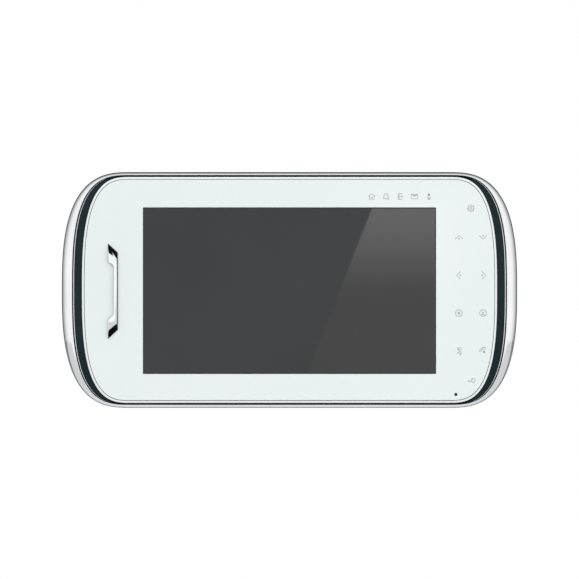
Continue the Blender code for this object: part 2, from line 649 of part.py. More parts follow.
def front_panel(monitor):
    """White gloss sheet with the window, the microphone hole and the trim's peg holes."""
    def sheet(mesh):
        loft(mesh, [outline(PANEL_OUT, PANEL_BACK),
                    outline(PANEL_OUT, BODY_DEPTH - PANEL_ROUND),
                    outline(inset(PANEL_OUT, PANEL_ROUND), BODY_DEPTH)])

    def window(mesh):
        depths = (PANEL_BACK - MM, BODY_DEPTH + MM)
        loft(mesh, [rectangle(0, -WINDOW_DROP, WINDOW_WIDTH, WINDOW_HEIGHT, d) for d in depths])
        turned(mesh, MIC_X, MIC_Z, [(MIC_HOLE, d) for d in depths], 12)
        for x, z in peg_places():
            turned(mesh, x, z, [(PEG_RADIUS + FIT, d) for d in depths], 12)

    def rebate(mesh):
        grow = 2 * (WINDOW_FLANGE + FIT)
        top = PANEL_BACK + WINDOW_FLANGE_THICK + FIT
        loft(mesh, [rectangle(0, -WINDOW_DROP, WINDOW_WIDTH + grow, WINDOW_HEIGHT + grow, d)
                    for d in (PANEL_BACK - MM, top)])

    node("front_panel", "gloss_white", monitor, sheet,
         [("DIFFERENCE", window), ("DIFFERENCE", rebate)])


def screen_window(monitor):
    """Stepped clear window: its flange lies behind the panel, its face is flush."""
    face = (WINDOW_WIDTH - 2 * FIT, WINDOW_HEIGHT - 2 * FIT)
    flange = (WINDOW_WIDTH + 2 * WINDOW_FLANGE, WINDOW_HEIGHT + 2 * WINDOW_FLANGE)
    step = PANEL_BACK + WINDOW_FLANGE_THICK
    stations = [(flange, PANEL_BACK), (flange, step), (face, step), (face, BODY_DEPTH)]
    node("screen_window", "dark_glass", monitor,
         lambda mesh: loft(mesh, [rectangle(0, -WINDOW_DROP, w, h, d) for (w, h), d in stations]))


def peg_places():
    """Centres of the trim's two pegs."""
    x = TRIM_X - TRIM_BAR
    return [(x, TRIM_Z + PEG_Z), (x, TRIM_Z - PEG_Z)]


def handset_trim(monitor):
    """Chromed handset-shaped trim with slanted ends, on two pegs."""
    left, half = TRIM_X - TRIM_WIDTH, TRIM_LENGTH / 2
    foot_end = half - TRIM_FOOT
    upper = [(TRIM_X, half - TRIM_SLANT), (left, half), (left, foot_end),
             (left + 0.35 * (TRIM_WIDTH - TRIM_BAR), foot_end - 0.5 * TRIM_CURVE),
             (TRIM_X - TRIM_BAR, foot_end - TRIM_CURVE)]
    points = upper + [(x, -z) for x, z in reversed(upper)]

    def body(mesh):
        low, high = BODY_DEPTH + FIT, BODY_DEPTH + FIT + TRIM_THICK
        loft(mesh, [[Vector((x, -d, TRIM_Z + z)) for x, z in points] for d in (low, high)])

    def pegs(mesh):
        for x, z in peg_places():
            turned(mesh, x, z, [(PEG_RADIUS, BODY_DEPTH - PEG_LENGTH),
                                (PEG_RADIUS, BODY_DEPTH + TRIM_THICK / 2)], 12)

    node("handset_trim", "chrome", monitor, body, [("UNION", pegs)])


# ---------------------------------------------------------------- display

def framed(stations, drop=WINDOW_DROP):
    """Build function for a rectangular ring from ((width, height), depth) stations."""
    return lambda mesh: loft(mesh, [rectangle(0, -drop, w, h, d) for (w, h), d in stations],
                             closed=True)


def display(monitor):
    """Foam gasket, steel LCD frame, glass, backlight and the two retaining strips."""
    inner = (ACTIVE_WIDTH + 2 * MM, ACTIVE_HEIGHT + 2 * MM)
    outer = (inner[0] + 2 * GASKET_WIDTH, inner[1] + 2 * GASKET_WIDTH)
    back = GASKET_FRONT - GASKET_THICK
    node("lcd_gasket", "foam", monitor,
         framed([(inner, back), (inner, GASKET_FRONT), (outer, GASKET_FRONT), (outer, back)]))

    case = (LCD_WIDTH, LCD_HEIGHT)
    room = (LCD_WIDTH - 2 * LCD_SHEET, LCD_HEIGHT - 2 * LCD_SHEET)
    seat = LCD_FRONT - LCD_SHEET
    node("lcd_frame", "zinc_steel", monitor,
         framed([(case, LCD_BACK), (case, LCD_FRONT), (inner, LCD_FRONT), (inner, seat),
                 (room, seat), (room, LCD_BACK)]))

    plate = (room[0] - 2 * FIT, room[1] - 2 * FIT)
    glass_back = seat - FIT - LCD_GLASS_THICK
    half_width, half_height = plate[0] / 2, plate[1] / 2
    span_z = (-WINDOW_DROP - half_height, -WINDOW_DROP + half_height)
    node("lcd_glass", "dark_glass", monitor,
         lambda mesh: box(mesh, (-half_width, half_width), (glass_back, seat - FIT), span_z))
    node("backlight", "ivory_plastic", monitor,
         lambda mesh: box(mesh, (-half_width, half_width), (LCD_BACK, glass_back - FIT), span_z))

    strip_front = LCD_BACK - FIT
    strip_height = 2 * EDGE_BOSS_Z + LCD_BRACKET_WIDTH / 2
    for name, x in (("left", -LCD_EDGE_BOSS_X), ("right", LCD_EDGE_BOSS_X)):
        def strip(mesh, x=x):
            loft(mesh, [rectangle(x, 0, LCD_BRACKET_WIDTH, strip_height, d, MM, 2)
                        for d in (STRIP_BACK, strip_front)])

        def strip_holes(mesh, x=x):
            for z in (-EDGE_BOSS_Z, EDGE_BOSS_Z):
                turned(mesh, x, z, [(BOARD_SCREW[0] + FIT, STRIP_BACK - MM),
                                    (BOARD_SCREW[0] + FIT, strip_front + MM)], 12)
        node(f"lcd_strip_{name}", "zinc_steel", monitor, strip, [("DIFFERENCE", strip_holes)])
    copies("lcd_strip_screw", "zinc_steel", monitor,
           screw_from_rear(BOARD_SCREW, STRIP_BACK, STRIP_SCREW_LENGTH),
           corners(LCD_EDGE_BOSS_X, EDGE_BOSS_Z))


# ---------------------------------------------------------------- electronics

def main_board(monitor):
    """Main circuit board with its screws, processor and the wall-side headers."""
    half_height = BEZEL_IN[1] - BOARD_EDGE_GAP

    def board(mesh):
        loft(mesh, [rectangle(0, 0, BOARD_WIDTH, 2 * half_height, d, MM, 2)
                    for d in (BOARD_DEPTH, BOARD_FRONT)])

    def holes(mesh):
        for _, x, z in corners(BOARD_BOSS_X, EDGE_BOSS_Z):
            turned(mesh, x, z, [(BOARD_SCREW[0] + FIT, BOARD_DEPTH - MM),
                                (BOARD_SCREW[0] + FIT, BOARD_FRONT + MM)], 12)

    node("main_board", "circuit_board", monitor, board, [("DIFFERENCE", holes)])
    copies("main_board_screw", "zinc_steel", monitor,
           screw_from_rear(BOARD_SCREW, BOARD_DEPTH, BOARD_SCREW_LENGTH),
           corners(BOARD_BOSS_X, EDGE_BOSS_Z))
    node("processor", "black_plastic", monitor,
         lambda mesh: box(mesh, (CHIP_X - CHIP_SIZE / 2, CHIP_X + CHIP_SIZE / 2),
                          (BOARD_DEPTH - FIT - CHIP_THICK, BOARD_DEPTH - FIT),
                          (CHIP_Z - CHIP_SIZE / 2, CHIP_Z + CHIP_SIZE / 2)))

    front = BOARD_DEPTH - FIT
    case = (HEADER_WIDTH, HEADER_HEIGHT)
    room = (HEADER_WIDTH - 2 * HEADER_WALL, HEADER_HEIGHT - 2 * HEADER_WALL)
    stations = [(case, front), (case, front - HEADER_LENGTH), (room, front - HEADER_LENGTH),
                (room, front - HEADER_FLOOR)]

    def header(mesh):
        loft(mesh, [rectangle(0, 0, w, h, d) for (w, h), d in stations])

    names = ("door_one", "door_two", "second_monitor", "power_in")
    places = [(name, (number - (HEADER_COUNT - 1) / 2) * HEADER_PITCH, TERMINAL_Z)
              for number, name in enumerate(names[:HEADER_COUNT])]
    copies("header", "ivory_plastic", monitor, header, places)


def touch_screw_places():
    """Centres of the touch board's two screws."""
    x = outline_x(BEZEL_IN, 0) - 3.5 * MM
    return [(x, TOUCH_NOTCH / 3), (x, -TOUCH_NOTCH / 3)]


def indicator_posts():
    """X positions of the indicator board's two heat-staked posts."""
    return (INDICATOR_LEFT + 2.5 * MM, INDICATOR_RIGHT - 2.5 * MM)


def touch_board(monitor):
    """Key board whose outer edge follows the bezel wall, notched round two bosses."""
    left = LCD_WIDTH / 2 + 2.7 * MM
    boss_side = HOUSING_SCREW_X + HOUSING_SCREW[0] + FIT + BOSS_WALL + MM
    edge = inset(BEZEL_IN, 2 * FIT)
    steps = 12
    heights = [TOUCH_REACH * (2 * number / steps - 1) for number in range(steps + 1)]
    points = [(outline_x(edge, z), z) for z in heights]
    points += [(boss_side, TOUCH_REACH), (boss_side, TOUCH_NOTCH), (left, TOUCH_NOTCH),
               (left, -TOUCH_NOTCH), (boss_side, -TOUCH_NOTCH), (boss_side, -TOUCH_REACH)]

    def board(mesh):
        loft(mesh, [[Vector((x, -d, z)) for x, z in points] for d in (TOUCH_BACK, TOUCH_FRONT)])

    def holes(mesh):
        for x, z in touch_screw_places():
            turned(mesh, x, z, [(SMALL_SCREW[0] + FIT, TOUCH_BACK - MM),
                                (SMALL_SCREW[0] + FIT, TOUCH_FRONT + MM)], 12)

    node("touch_board", "circuit_board", monitor, board, [("DIFFERENCE", holes)])
    places = [(name, x, z) for name, (x, z) in zip(("upper", "lower"), touch_screw_places())]
    copies("touch_board_screw", "zinc_steel", monitor,
           screw_from_rear(SMALL_SCREW, TOUCH_BACK, TOUCH_SCREW_LENGTH), places)


def indicator_board(monitor):
    """Strip behind the row of status lights, staked on two posts."""
    centre_x = (INDICATOR_LEFT + INDICATOR_RIGHT) / 2
    low = LCD_HEIGHT / 2 - WINDOW_DROP + 2 * FIT
    front = FLOOR_BACK - FIT

    def board(mesh):
        loft(mesh, [rectangle(centre_x, low + INDICATOR_HEIGHT / 2,
                              INDICATOR_RIGHT - INDICATOR_LEFT, INDICATOR_HEIGHT, d)
                    for d in (front - INDICATOR_THICK, front)])

    def holes(mesh):
        for x in indicator_posts():
            turned(mesh, x, EDGE_BOSS_Z, [(MM, front - INDICATOR_THICK - MM),
                                          (MM, front + MM)], 10)

    node("indicator_board", "circuit_board", monitor, board, [("DIFFERENCE", holes)])


def microphone(monitor):
    """Small capsule behind its hole, on a foam ring."""
    front = FLOOR_BACK - FIT
    ring = MIC_GASKET
    node("mic_gasket", "foam", monitor,
         lambda mesh: turned_ring(mesh, MIC_X, MIC_Z,
                                  [(MIC_HOLE, front - ring), (MIC_RADIUS, front - ring),
                                   (MIC_RADIUS, front), (MIC_HOLE, front)], 16))
    top = front - ring - FIT
    node("microphone", "zinc_steel", monitor,
         lambda mesh: turned(mesh, MIC_X, MIC_Z,
                             [(MIC_RADIUS, top - MIC_LENGTH), (MIC_RADIUS, top)], 16))


def speaker_seat():
    """Depth of the speaker flange's front face."""
    return BACK_INSIDE + FIT + SPEAKER_GASKET + FIT + SPEAKER_FLANGE


def speaker_screw_z():
    """Height of the speaker's two clamp screws."""
    return SPEAKER_RADIUS + CLAMP_SCREW[0] + BOSS_WALL + FIT


def speaker(monitor):
    """Gasket, basket, cone and magnet, clamped by two wide-head screws."""
    r = SPEAKER_RADIUS
    low = BACK_INSIDE + FIT
    node("speaker_gasket", "foam", monitor,
         lambda mesh: turned_ring(mesh, SPEAKER_X, 0, [(r * 0.84, low), (r, low),
                                                       (r, low + SPEAKER_GASKET),
                                                       (r * 0.84, low + SPEAKER_GASKET)]))
    face, seat = low + SPEAKER_GASKET + FIT, speaker_seat()
    top = STRIP_BACK - 2 * FIT - MAGNET_THICK - FIT
    throat = MAGNET_RADIUS + 0.4 * MM
    wall = BASKET_WALL
    rim_in = r - 2.4 * MM
    basket = [(rim_in, face), (r, face), (r, seat), (r - 1.6 * MM, seat + 0.2 * MM),
              (throat, top - 1.2 * MM), (throat, top), (3 * MM, top), (3 * MM, top - wall),
              (throat - MM, top - wall), (rim_in, seat)]
    node("speaker_basket", "zinc_steel", monitor,
         lambda mesh: turned_ring(mesh, SPEAKER_X, 0, basket))
    cone_edge, apex = rim_in - FIT, top - wall - 1.4 * MM
    cone = [(0.5 * MM, apex - 1.6 * MM), (4 * MM, apex - 0.7 * MM), (cone_edge, face + 0.2 * MM),
            (cone_edge, face + 0.7 * MM), (4.2 * MM, apex), (0.5 * MM, apex)]
    node("speaker_cone", "paper_cone", monitor,
         lambda mesh: turned(mesh, SPEAKER_X, 0, cone, 32))
    node("speaker_magnet", "zinc_steel", monitor,
         lambda mesh: turned(mesh, SPEAKER_X, 0, [(MAGNET_RADIUS, top + FIT),
                                                  (MAGNET_RADIUS, top + FIT + MAGNET_THICK)], 24))
    places = [("upper", SPEAKER_X, speaker_screw_z()), ("lower", SPEAKER_X, -speaker_screw_z())]
    copies("speaker_screw", "zinc_steel", monitor,
           screw_from_front(CLAMP_SCREW, seat, seat - BACK_INSIDE), places)


def power_screw_z():
    """Height of the power board's two screws."""
    return POWER_HEIGHT / 2 - 5 * MM


def power_board(monitor):
    """Supply board on two bosses, with its capacitor and inductor."""
    front = POWER_DEPTH + BOARD_THICK

    def board(mesh):
        loft(mesh, [rectangle(POWER_X, 0, POWER_WIDTH, POWER_HEIGHT, d)
                    for d in (POWER_DEPTH, front)])

    def holes(mesh):
        for z in (-power_screw_z(), power_screw_z()):
            turned(mesh, POWER_X, z, [(BOARD_SCREW[0] + FIT, POWER_DEPTH - MM),
                                      (BOARD_SCREW[0] + FIT, front + MM)], 12)

    node("power_board", "circuit_board", monitor, board, [("DIFFERENCE", holes)])
    places = [("upper", POWER_X, power_screw_z()), ("lower", POWER_X, -power_screw_z())]
    copies("power_board_screw", "zinc_steel", monitor,
           screw_from_front(BOARD_SCREW, front, POWER_SCREW_LENGTH), places)
    part_x = POWER_X + POWER_WIDTH / 4
    part_z = POWER_HEIGHT / 6
    node("filter_capacitor", "black_plastic", monitor,
         lambda mesh: turned(mesh, part_x, part_z, [(4 * MM, front + FIT), (4 * MM, front + 4.2 * MM),
                                                    (3.6 * MM, front + 4.6 * MM)], 20))
    node("power_inductor", "black_plastic", monitor,
         lambda mesh: box(mesh, (part_x - 4 * MM, part_x + 4 * MM), (front + FIT, front + 4.3 * MM),
                          (-part_z - 4 * MM, -part_z + 4 * MM)))


def ribbons(monitor):
    """Flat cables from the display and from the touch board to the main board."""
    film = RIBBON_FILM
    touch_level = TOUCH_BACK - 1.5 * FIT
    behind_lcd = LCD_BACK - 1.7 * FIT
    over_board = BOARD_FRONT + 1.7 * FIT
    fold = -BODY_HEIGHT / 2 + DISPLAY_RIBBON_FOLD
    path = [(DISPLAY_RIBBON_TOP, behind_lcd), (fold + 2 * MM, behind_lcd),
            (fold, (behind_lcd + over_board) / 2),
            (fold + 2 * MM, over_board), (DISPLAY_RIBBON_LOW, over_board)]
    node("display_ribbon", "amber_film", monitor,
         lambda mesh: prism(mesh, ribbon_points(path, film), -DISPLAY_RIBBON_HALF,
                            DISPLAY_RIBBON_HALF, "X"))

    gap_x = LCD_WIDTH / 2 + 2.0 * MM
    under_strip = STRIP_BACK - 2.5 * FIT
    route = [(gap_x + 12 * MM, touch_level), (gap_x + 2 * MM, touch_level),
             (gap_x + 0.4 * MM, touch_level - 1.2 * MM), (gap_x, LCD_BACK - MM),
             (gap_x - 1.5 * MM, under_strip), (BOARD_WIDTH / 2 + 4 * MM, over_board),
             (BOARD_WIDTH / 2 - 5 * MM, over_board)]
    node("touch_ribbon", "amber_film", monitor,
         lambda mesh: prism(mesh, ribbon_points(route, film), *TOUCH_RIBBON_SPAN, "Z"))


def power_switch(monitor, slide):
    """Slide switch on the main board; its slider reaches through the housing's underside."""
    wall_inside = -TUB_OUT[1] + SHELL_WALL
    bottom = wall_inside + 3 * FIT
    front = BOARD_DEPTH - FIT
    slot_half = SLIDER_THICK / 2 + FIT
    left = SWITCH_X - SLIDER_WIDTH / 2 - FIT
    right = left + SLIDER_WIDTH + SWITCH_TRAVEL + 2 * FIT
    centre = (left + right) / 2

    def body(mesh):
        box(mesh, (centre - SWITCH_WIDTH / 2, centre + SWITCH_WIDTH / 2),
            (front - SWITCH_LENGTH, front), (bottom, bottom + SWITCH_HEIGHT))

    def groove(mesh):
        box(mesh, (left, right), (SWITCH_DEPTH - slot_half, SWITCH_DEPTH + slot_half),
            (bottom - MM, bottom + SLIDER_ENTRY + FIT))

    node("power_switch_body", "black_plastic", monitor, body, [("DIFFERENCE", groove)])

    top = bottom + SLIDER_ENTRY
    low = -TUB_OUT[1] - SLIDER_PROUD

    def slider(mesh):
        half_x, half_d = SLIDER_WIDTH / 2, SLIDER_THICK / 2
        box(mesh, (-half_x, half_x), (-half_d, half_d), (low - bottom, top - bottom))

    node("power_switch_slider", "black_plastic", slide, slider,
         location=(SWITCH_X, -SWITCH_DEPTH, bottom))


def housing_screws(monitor):
    """Four screws from the rear housing into the bezel's bosses."""
    copies("housing_screw", "zinc_steel", monitor,
           screw_from_rear(HOUSING_SCREW, HEAD_SEAT, HOUSING_SCREW_LENGTH),
           corners(HOUSING_SCREW_X, HOUSING_SCREW_Z))


def joint_frame(name, location, parent=None):
    """An empty on a joint's axis, which carries what moves with it."""
    return link(name, None, parent, location)


def main():
    for old in list(bpy.data.objects):
        bpy.data.objects.remove(old, do_unlink=True)
    root = joint_frame("wall_plane", (0, 0, 0))
    monitor = joint_frame("lift_off_axis", (0, -RECESS_INNER, 0), root)
    slide = joint_frame("switch_axis", (SWITCH_X, -SWITCH_DEPTH, -TUB_OUT[1]), monitor)
    wall_bracket(root)
    for build in (rear_housing, chrome_frame, side_band, front_bezel, front_panel,
                  screen_window, handset_trim, display, main_board, touch_board,
                  indicator_board, microphone, speaker, power_board, ribbons,
                  housing_screws):
        build(monitor)
    power_switch(monitor, slide)


main()
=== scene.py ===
import math

import bmesh
import bpy
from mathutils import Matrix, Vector


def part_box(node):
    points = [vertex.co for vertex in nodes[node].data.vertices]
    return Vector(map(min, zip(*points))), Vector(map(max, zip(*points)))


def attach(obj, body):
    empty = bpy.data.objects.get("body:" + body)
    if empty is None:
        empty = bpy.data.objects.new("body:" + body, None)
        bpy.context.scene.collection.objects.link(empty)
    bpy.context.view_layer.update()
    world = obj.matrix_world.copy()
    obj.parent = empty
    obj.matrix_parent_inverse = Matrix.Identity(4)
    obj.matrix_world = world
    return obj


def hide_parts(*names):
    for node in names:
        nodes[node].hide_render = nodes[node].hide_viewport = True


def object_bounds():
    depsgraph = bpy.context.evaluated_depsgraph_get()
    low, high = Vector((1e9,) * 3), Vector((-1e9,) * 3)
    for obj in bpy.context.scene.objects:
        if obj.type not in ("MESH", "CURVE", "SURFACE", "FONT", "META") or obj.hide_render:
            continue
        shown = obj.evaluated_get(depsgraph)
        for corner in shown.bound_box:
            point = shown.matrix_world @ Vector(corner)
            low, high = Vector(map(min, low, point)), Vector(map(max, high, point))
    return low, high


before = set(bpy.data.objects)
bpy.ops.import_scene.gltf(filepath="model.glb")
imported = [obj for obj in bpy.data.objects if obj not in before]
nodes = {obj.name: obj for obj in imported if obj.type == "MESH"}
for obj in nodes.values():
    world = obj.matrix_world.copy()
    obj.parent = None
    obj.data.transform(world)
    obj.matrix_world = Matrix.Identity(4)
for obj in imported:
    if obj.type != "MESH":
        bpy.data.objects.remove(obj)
cadLow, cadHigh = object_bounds()
print("frame loaded:", len(nodes), "nodes")

mm = 0.001
fit = 0.3 * mm  # gap between pieces, as in the CAD


# the camera, the room round it and the floor
studio = {
    "viewDistance": 2.5,
    "viewRise": 0.24 * mm,
    "viewWidth": 307.3 * mm,       # what the camera takes in at the panel's face
    "faceBehindTrim": 1.9 * mm,    # the panel's face lies this far behind the trim's front
    "sensor": 36.0,
    "floorHeight": -2.6,
    "floorLift": 0.01,             # the floor that is seen lies just above the mirrored one
    "floorSides": (-19.0, 19.0, -26.0, 4.1),
    "floorReach": 34.0,
    "floorEnd": 60.0,
    "floorShade": (0.30, 0.305, 0.31, 1),
    "floorColour": (0.96, 0.965, 0.97, 1),
    # light of the room from straight behind the object (0) round to the viewer's side (1)
    "roomLight": ((0.0, 0.05), (0.09, 0.08), (0.15, 0.33), (0.28, 0.50), (0.5, 0.78),
                  (0.76, 1.0)),
}


def put(tree, kind, inputs=None, **settings):
    # one node with its settings; an input takes a value or another node's socket
    item = tree.nodes.new(kind)
    for key, value in settings.items():
        setattr(item, key, value)
    for key, value in (inputs or {}).items():
        if isinstance(value, bpy.types.NodeSocket):
            tree.links.new(value, item.inputs[key])
        else:
            item.inputs[key].default_value = value
    return item


def calc(tree, operation, *values):
    return put(tree, "ShaderNodeMath", dict(enumerate(values)), operation=operation).outputs[0]


def ramp(tree, value, stops):
    # a colour ramp through (place, grey or colour) stops
    item = put(tree, "ShaderNodeValToRGB", {"Fac": value})
    elements = item.color_ramp.elements
    while len(elements) < len(stops):
        elements.new(0.5)
    for element, (place, colour) in zip(elements, stops):
        element.position = place
        shade = (colour,) * 3 if isinstance(colour, (int, float)) else tuple(colour)[:3]
        element.color = (*shade, 1)
    return item.outputs["Color"]


def addCamera(look):
    camera = bpy.data.cameras.new("viewer")
    camera.sensor_width = look["sensor"]
    camera.lens = look["sensor"] * look["viewDistance"] / look["viewWidth"]
    camera.clip_start = 0.1
    item = bpy.data.objects.new("viewer", camera)
    item.location = (0, cadLow.y + look["faceBehindTrim"] - look["viewDistance"],
                     look["viewRise"])
    item.rotation_euler = (math.pi / 2, 0, 0)
    bpy.context.scene.collection.objects.link(item)
    bpy.context.scene.camera = item


def addWorld(look):
    world = bpy.data.worlds.new("softRoom")
    bpy.context.scene.world = world
    world.use_nodes = True
    tree = world.node_tree
    tree.nodes.clear()
    direction = put(tree, "ShaderNodeTexCoord").outputs["Generated"]
    parts = put(tree, "ShaderNodeSeparateXYZ", {0: direction})
    front = calc(tree, "MULTIPLY_ADD", parts.outputs["Y"], -0.5, 0.5)
    room = ramp(tree, front, look["roomLight"])
    roomLight = put(tree, "ShaderNodeBackground", {"Color": room, "Strength": 1.0})
    plain = put(tree, "ShaderNodeBackground", {"Color": (1, 1, 1, 1), "Strength": 1.0})
    seen = put(tree, "ShaderNodeLightPath").outputs["Is Camera Ray"]
    mixed = put(tree, "ShaderNodeMixShader", {0: seen, 1: roomLight.outputs[0],
                                              2: plain.outputs[0]})
    put(tree, "ShaderNodeOutputWorld", {"Surface": mixed.outputs[0]})


def stageObject(name, points, material):
    mesh = bpy.data.meshes.new(name)
    mesh.from_pydata([tuple(p) for p in points], [], [tuple(range(len(points)))])
    mesh.materials.append(material)
    item = bpy.data.objects.new(name, mesh)
    bpy.context.scene.collection.objects.link(item)
    return item


def floorPaint(name, tone):
    material = bpy.data.materials.new(name)
    material.use_nodes = True
    tree = material.node_tree
    place = put(tree, "ShaderNodeTexCoord").outputs["Object"]
    grain = put(tree, "ShaderNodeTexNoise", {"Vector": place, "Scale": 9.0, "Detail": 4.0})
    colour = ramp(tree, grain.outputs["Fac"], [(0.3, [c * 0.985 for c in tone[:3]]),
                                               (0.7, tone[:3])])
    shader = tree.nodes["Principled BSDF"]
    tree.links.new(colour, shader.inputs["Base Color"])
    shader.inputs["Roughness"].default_value = 0.7
    return material


def floorSheet(name, sides, z, material):
    left, right, near, far = sides
    return stageObject(name, [(left, near, z), (right, near, z), (right, far, z), (left, far, z)],
                       material)


def addFloor(look):
    # the near floor and the darker one behind are mirrored in the gloss;
    # the wide one just above them is what the camera sees
    pale = floorPaint("studioFloor", look["floorColour"])
    z, wide, sides = look["floorHeight"], look["floorReach"], look["floorSides"]
    mirrored = floorSheet("studioFloorNear", sides, z, pale)
    beyond = floorSheet("studioFloorBeyond", (sides[0], sides[1], sides[3], look["floorEnd"]), z,
                        floorPaint("floorShade", look["floorShade"]))
    seen = floorSheet("studioFloor", (-wide, wide, -wide, wide), z + look["floorLift"], pale)
    mirrored.visible_camera = beyond.visible_camera = beyond.visible_diffuse = False
    seen.visible_glossy = seen.visible_diffuse = seen.visible_shadow = False


softBoxes = {
    # name: place, size, power in watts, tint
    "keyBox": ((-0.9, -1.5, 1.3), 1.1, 8.5, (1.0, 1.0, 1.0)),
    "fillBox": ((1.3, -1.2, 0.5), 1.0, 4.9, (0.97, 0.99, 1.0)),
    "backBox": ((0.5, 1.4, 0.9), 1.1, 13.0, (1.0, 1.0, 1.0)),
    "backFillBox": ((-1.1, 1.2, 0.2), 0.9, 6.0, (0.97, 0.99, 1.0)),
}


def addSoftBoxes(boxes):
    for name, (place, size, power, tint) in boxes.items():
        light = bpy.data.lights.new(name, "AREA")
        light.shape = "SQUARE"
        light.size = size
        light.energy = power
        light.color = tint
        item = bpy.data.objects.new(name, light)
        item.location = place
        item.rotation_euler = (-Vector(place)).to_track_quat("-Z", "Y").to_euler()
        item.visible_glossy = False
        bpy.context.scene.collection.objects.link(item)


windowGlare = {
    # a lit card behind the camera; its slanted edge is what the dark window mirrors
    "distance": 3.0,
    "top": (44.9 * mm, 46.0 * mm),     # where the slanted edge leaves the window, x and z
    "low": (-5.3 * mm, -82.0 * mm),
    "right": 84.0 * mm,
    "strength": 2.75,
    "fadedStrength": 1.18,
    "fadeFrom": 44.0 * mm,             # screen height of full strength
    "fadeTo": -8.0 * mm,
    "tint": (1, 0.985, 0.965, 1),
}


def addWindowGlare(look):
    scale = (studio["viewDistance"] + look["distance"]) / studio["viewDistance"]
    y = cadLow.y + studio["faceBehindTrim"] - look["distance"]
    corners = [look["low"], look["top"], (look["right"], look["top"][1]),
               (look["right"], look["low"][1])]
    material = bpy.data.materials.new("glareCard")
    material.use_nodes = True
    tree = material.node_tree
    tree.nodes.clear()
    place = put(tree, "ShaderNodeTexCoord").outputs["Object"]
    height = put(tree, "ShaderNodeSeparateXYZ", {0: place}).outputs["Z"]
    strength = put(tree, "ShaderNodeMapRange",
                   {"Value": height, "From Min": look["fadeTo"] * scale,
                    "From Max": look["fadeFrom"] * scale,
                    "To Min": look["fadedStrength"], "To Max": look["strength"]},
                   interpolation_type="SMOOTHSTEP").outputs["Result"]
    glow = put(tree, "ShaderNodeEmission", {"Color": look["tint"], "Strength": strength})
    put(tree, "ShaderNodeOutputMaterial", {"Surface": glow.outputs[0]})
    card = stageObject("glareCard", [(x * scale, y, z * scale) for x, z in corners], material)
    card.visible_camera = False
    card.visible_diffuse = False
    card.visible_shadow = False


darkFlags = {
    # name: middle, radius of the black, radius where it has faded out
    "upperFlag": ((0.150, -0.46, 0.286), 0.09, 0.15),
    "lowerFlag": ((0.176, -0.46, -0.314), 0.09, 0.15),
}
flagAim = (-0.094, -0.03, 0.0)     # the flags face the trim


def addDarkFlags(flags):
    # round black cards with a soft edge, seen in gloss only
    for name, (middle, solid, reach) in flags.items():
        material = bpy.data.materials.new(name + "Cloth")
        material.use_nodes = True
        tree = material.node_tree
        place = put(tree, "ShaderNodeTexCoord").outputs["Object"]
        weave = put(tree, "ShaderNodeTexNoise", {"Vector": place, "Scale": 300.0})
        shader = tree.nodes["Principled BSDF"]
        tree.links.new(ramp(tree, weave.outputs["Fac"], [(0.4, 0.002), (0.6, 0.006)]),
                       shader.inputs["Base Color"])
        shader.inputs["Roughness"].default_value = 1.0
        shader.inputs["Specular IOR Level"].default_value = 0.0
        away = put(tree, "ShaderNodeVectorMath", {0: place, 1: middle}, operation="DISTANCE")
        cover = put(tree, "ShaderNodeMapRange",
                    {"Value": away.outputs["Value"], "From Min": solid, "From Max": reach,
                     "To Min": 1.0, "To Max": 0.0}, interpolation_type="SMOOTHSTEP")
        tree.links.new(cover.outputs["Result"], shader.inputs["Alpha"])
        facing = Vector(flagAim) - Vector(middle)
        turn = facing.to_track_quat("-Z", "Y").to_matrix()
        corners = [Vector(middle) + turn @ Vector((sx * reach, sz * reach, 0))
                   for sx, sz in ((-1, -1), (1, -1), (1, 1), (-1, 1))]
        card = stageObject(name, corners, material)
        card.visible_camera = card.visible_diffuse = card.visible_shadow = False


addCamera(studio)
addWorld(studio)
addFloor(studio)
addSoftBoxes(softBoxes)
addWindowGlare(windowGlare)
addDarkFlags(darkFlags)
bpy.context.scene.view_settings.view_transform = "Standard"
print("studio ready")


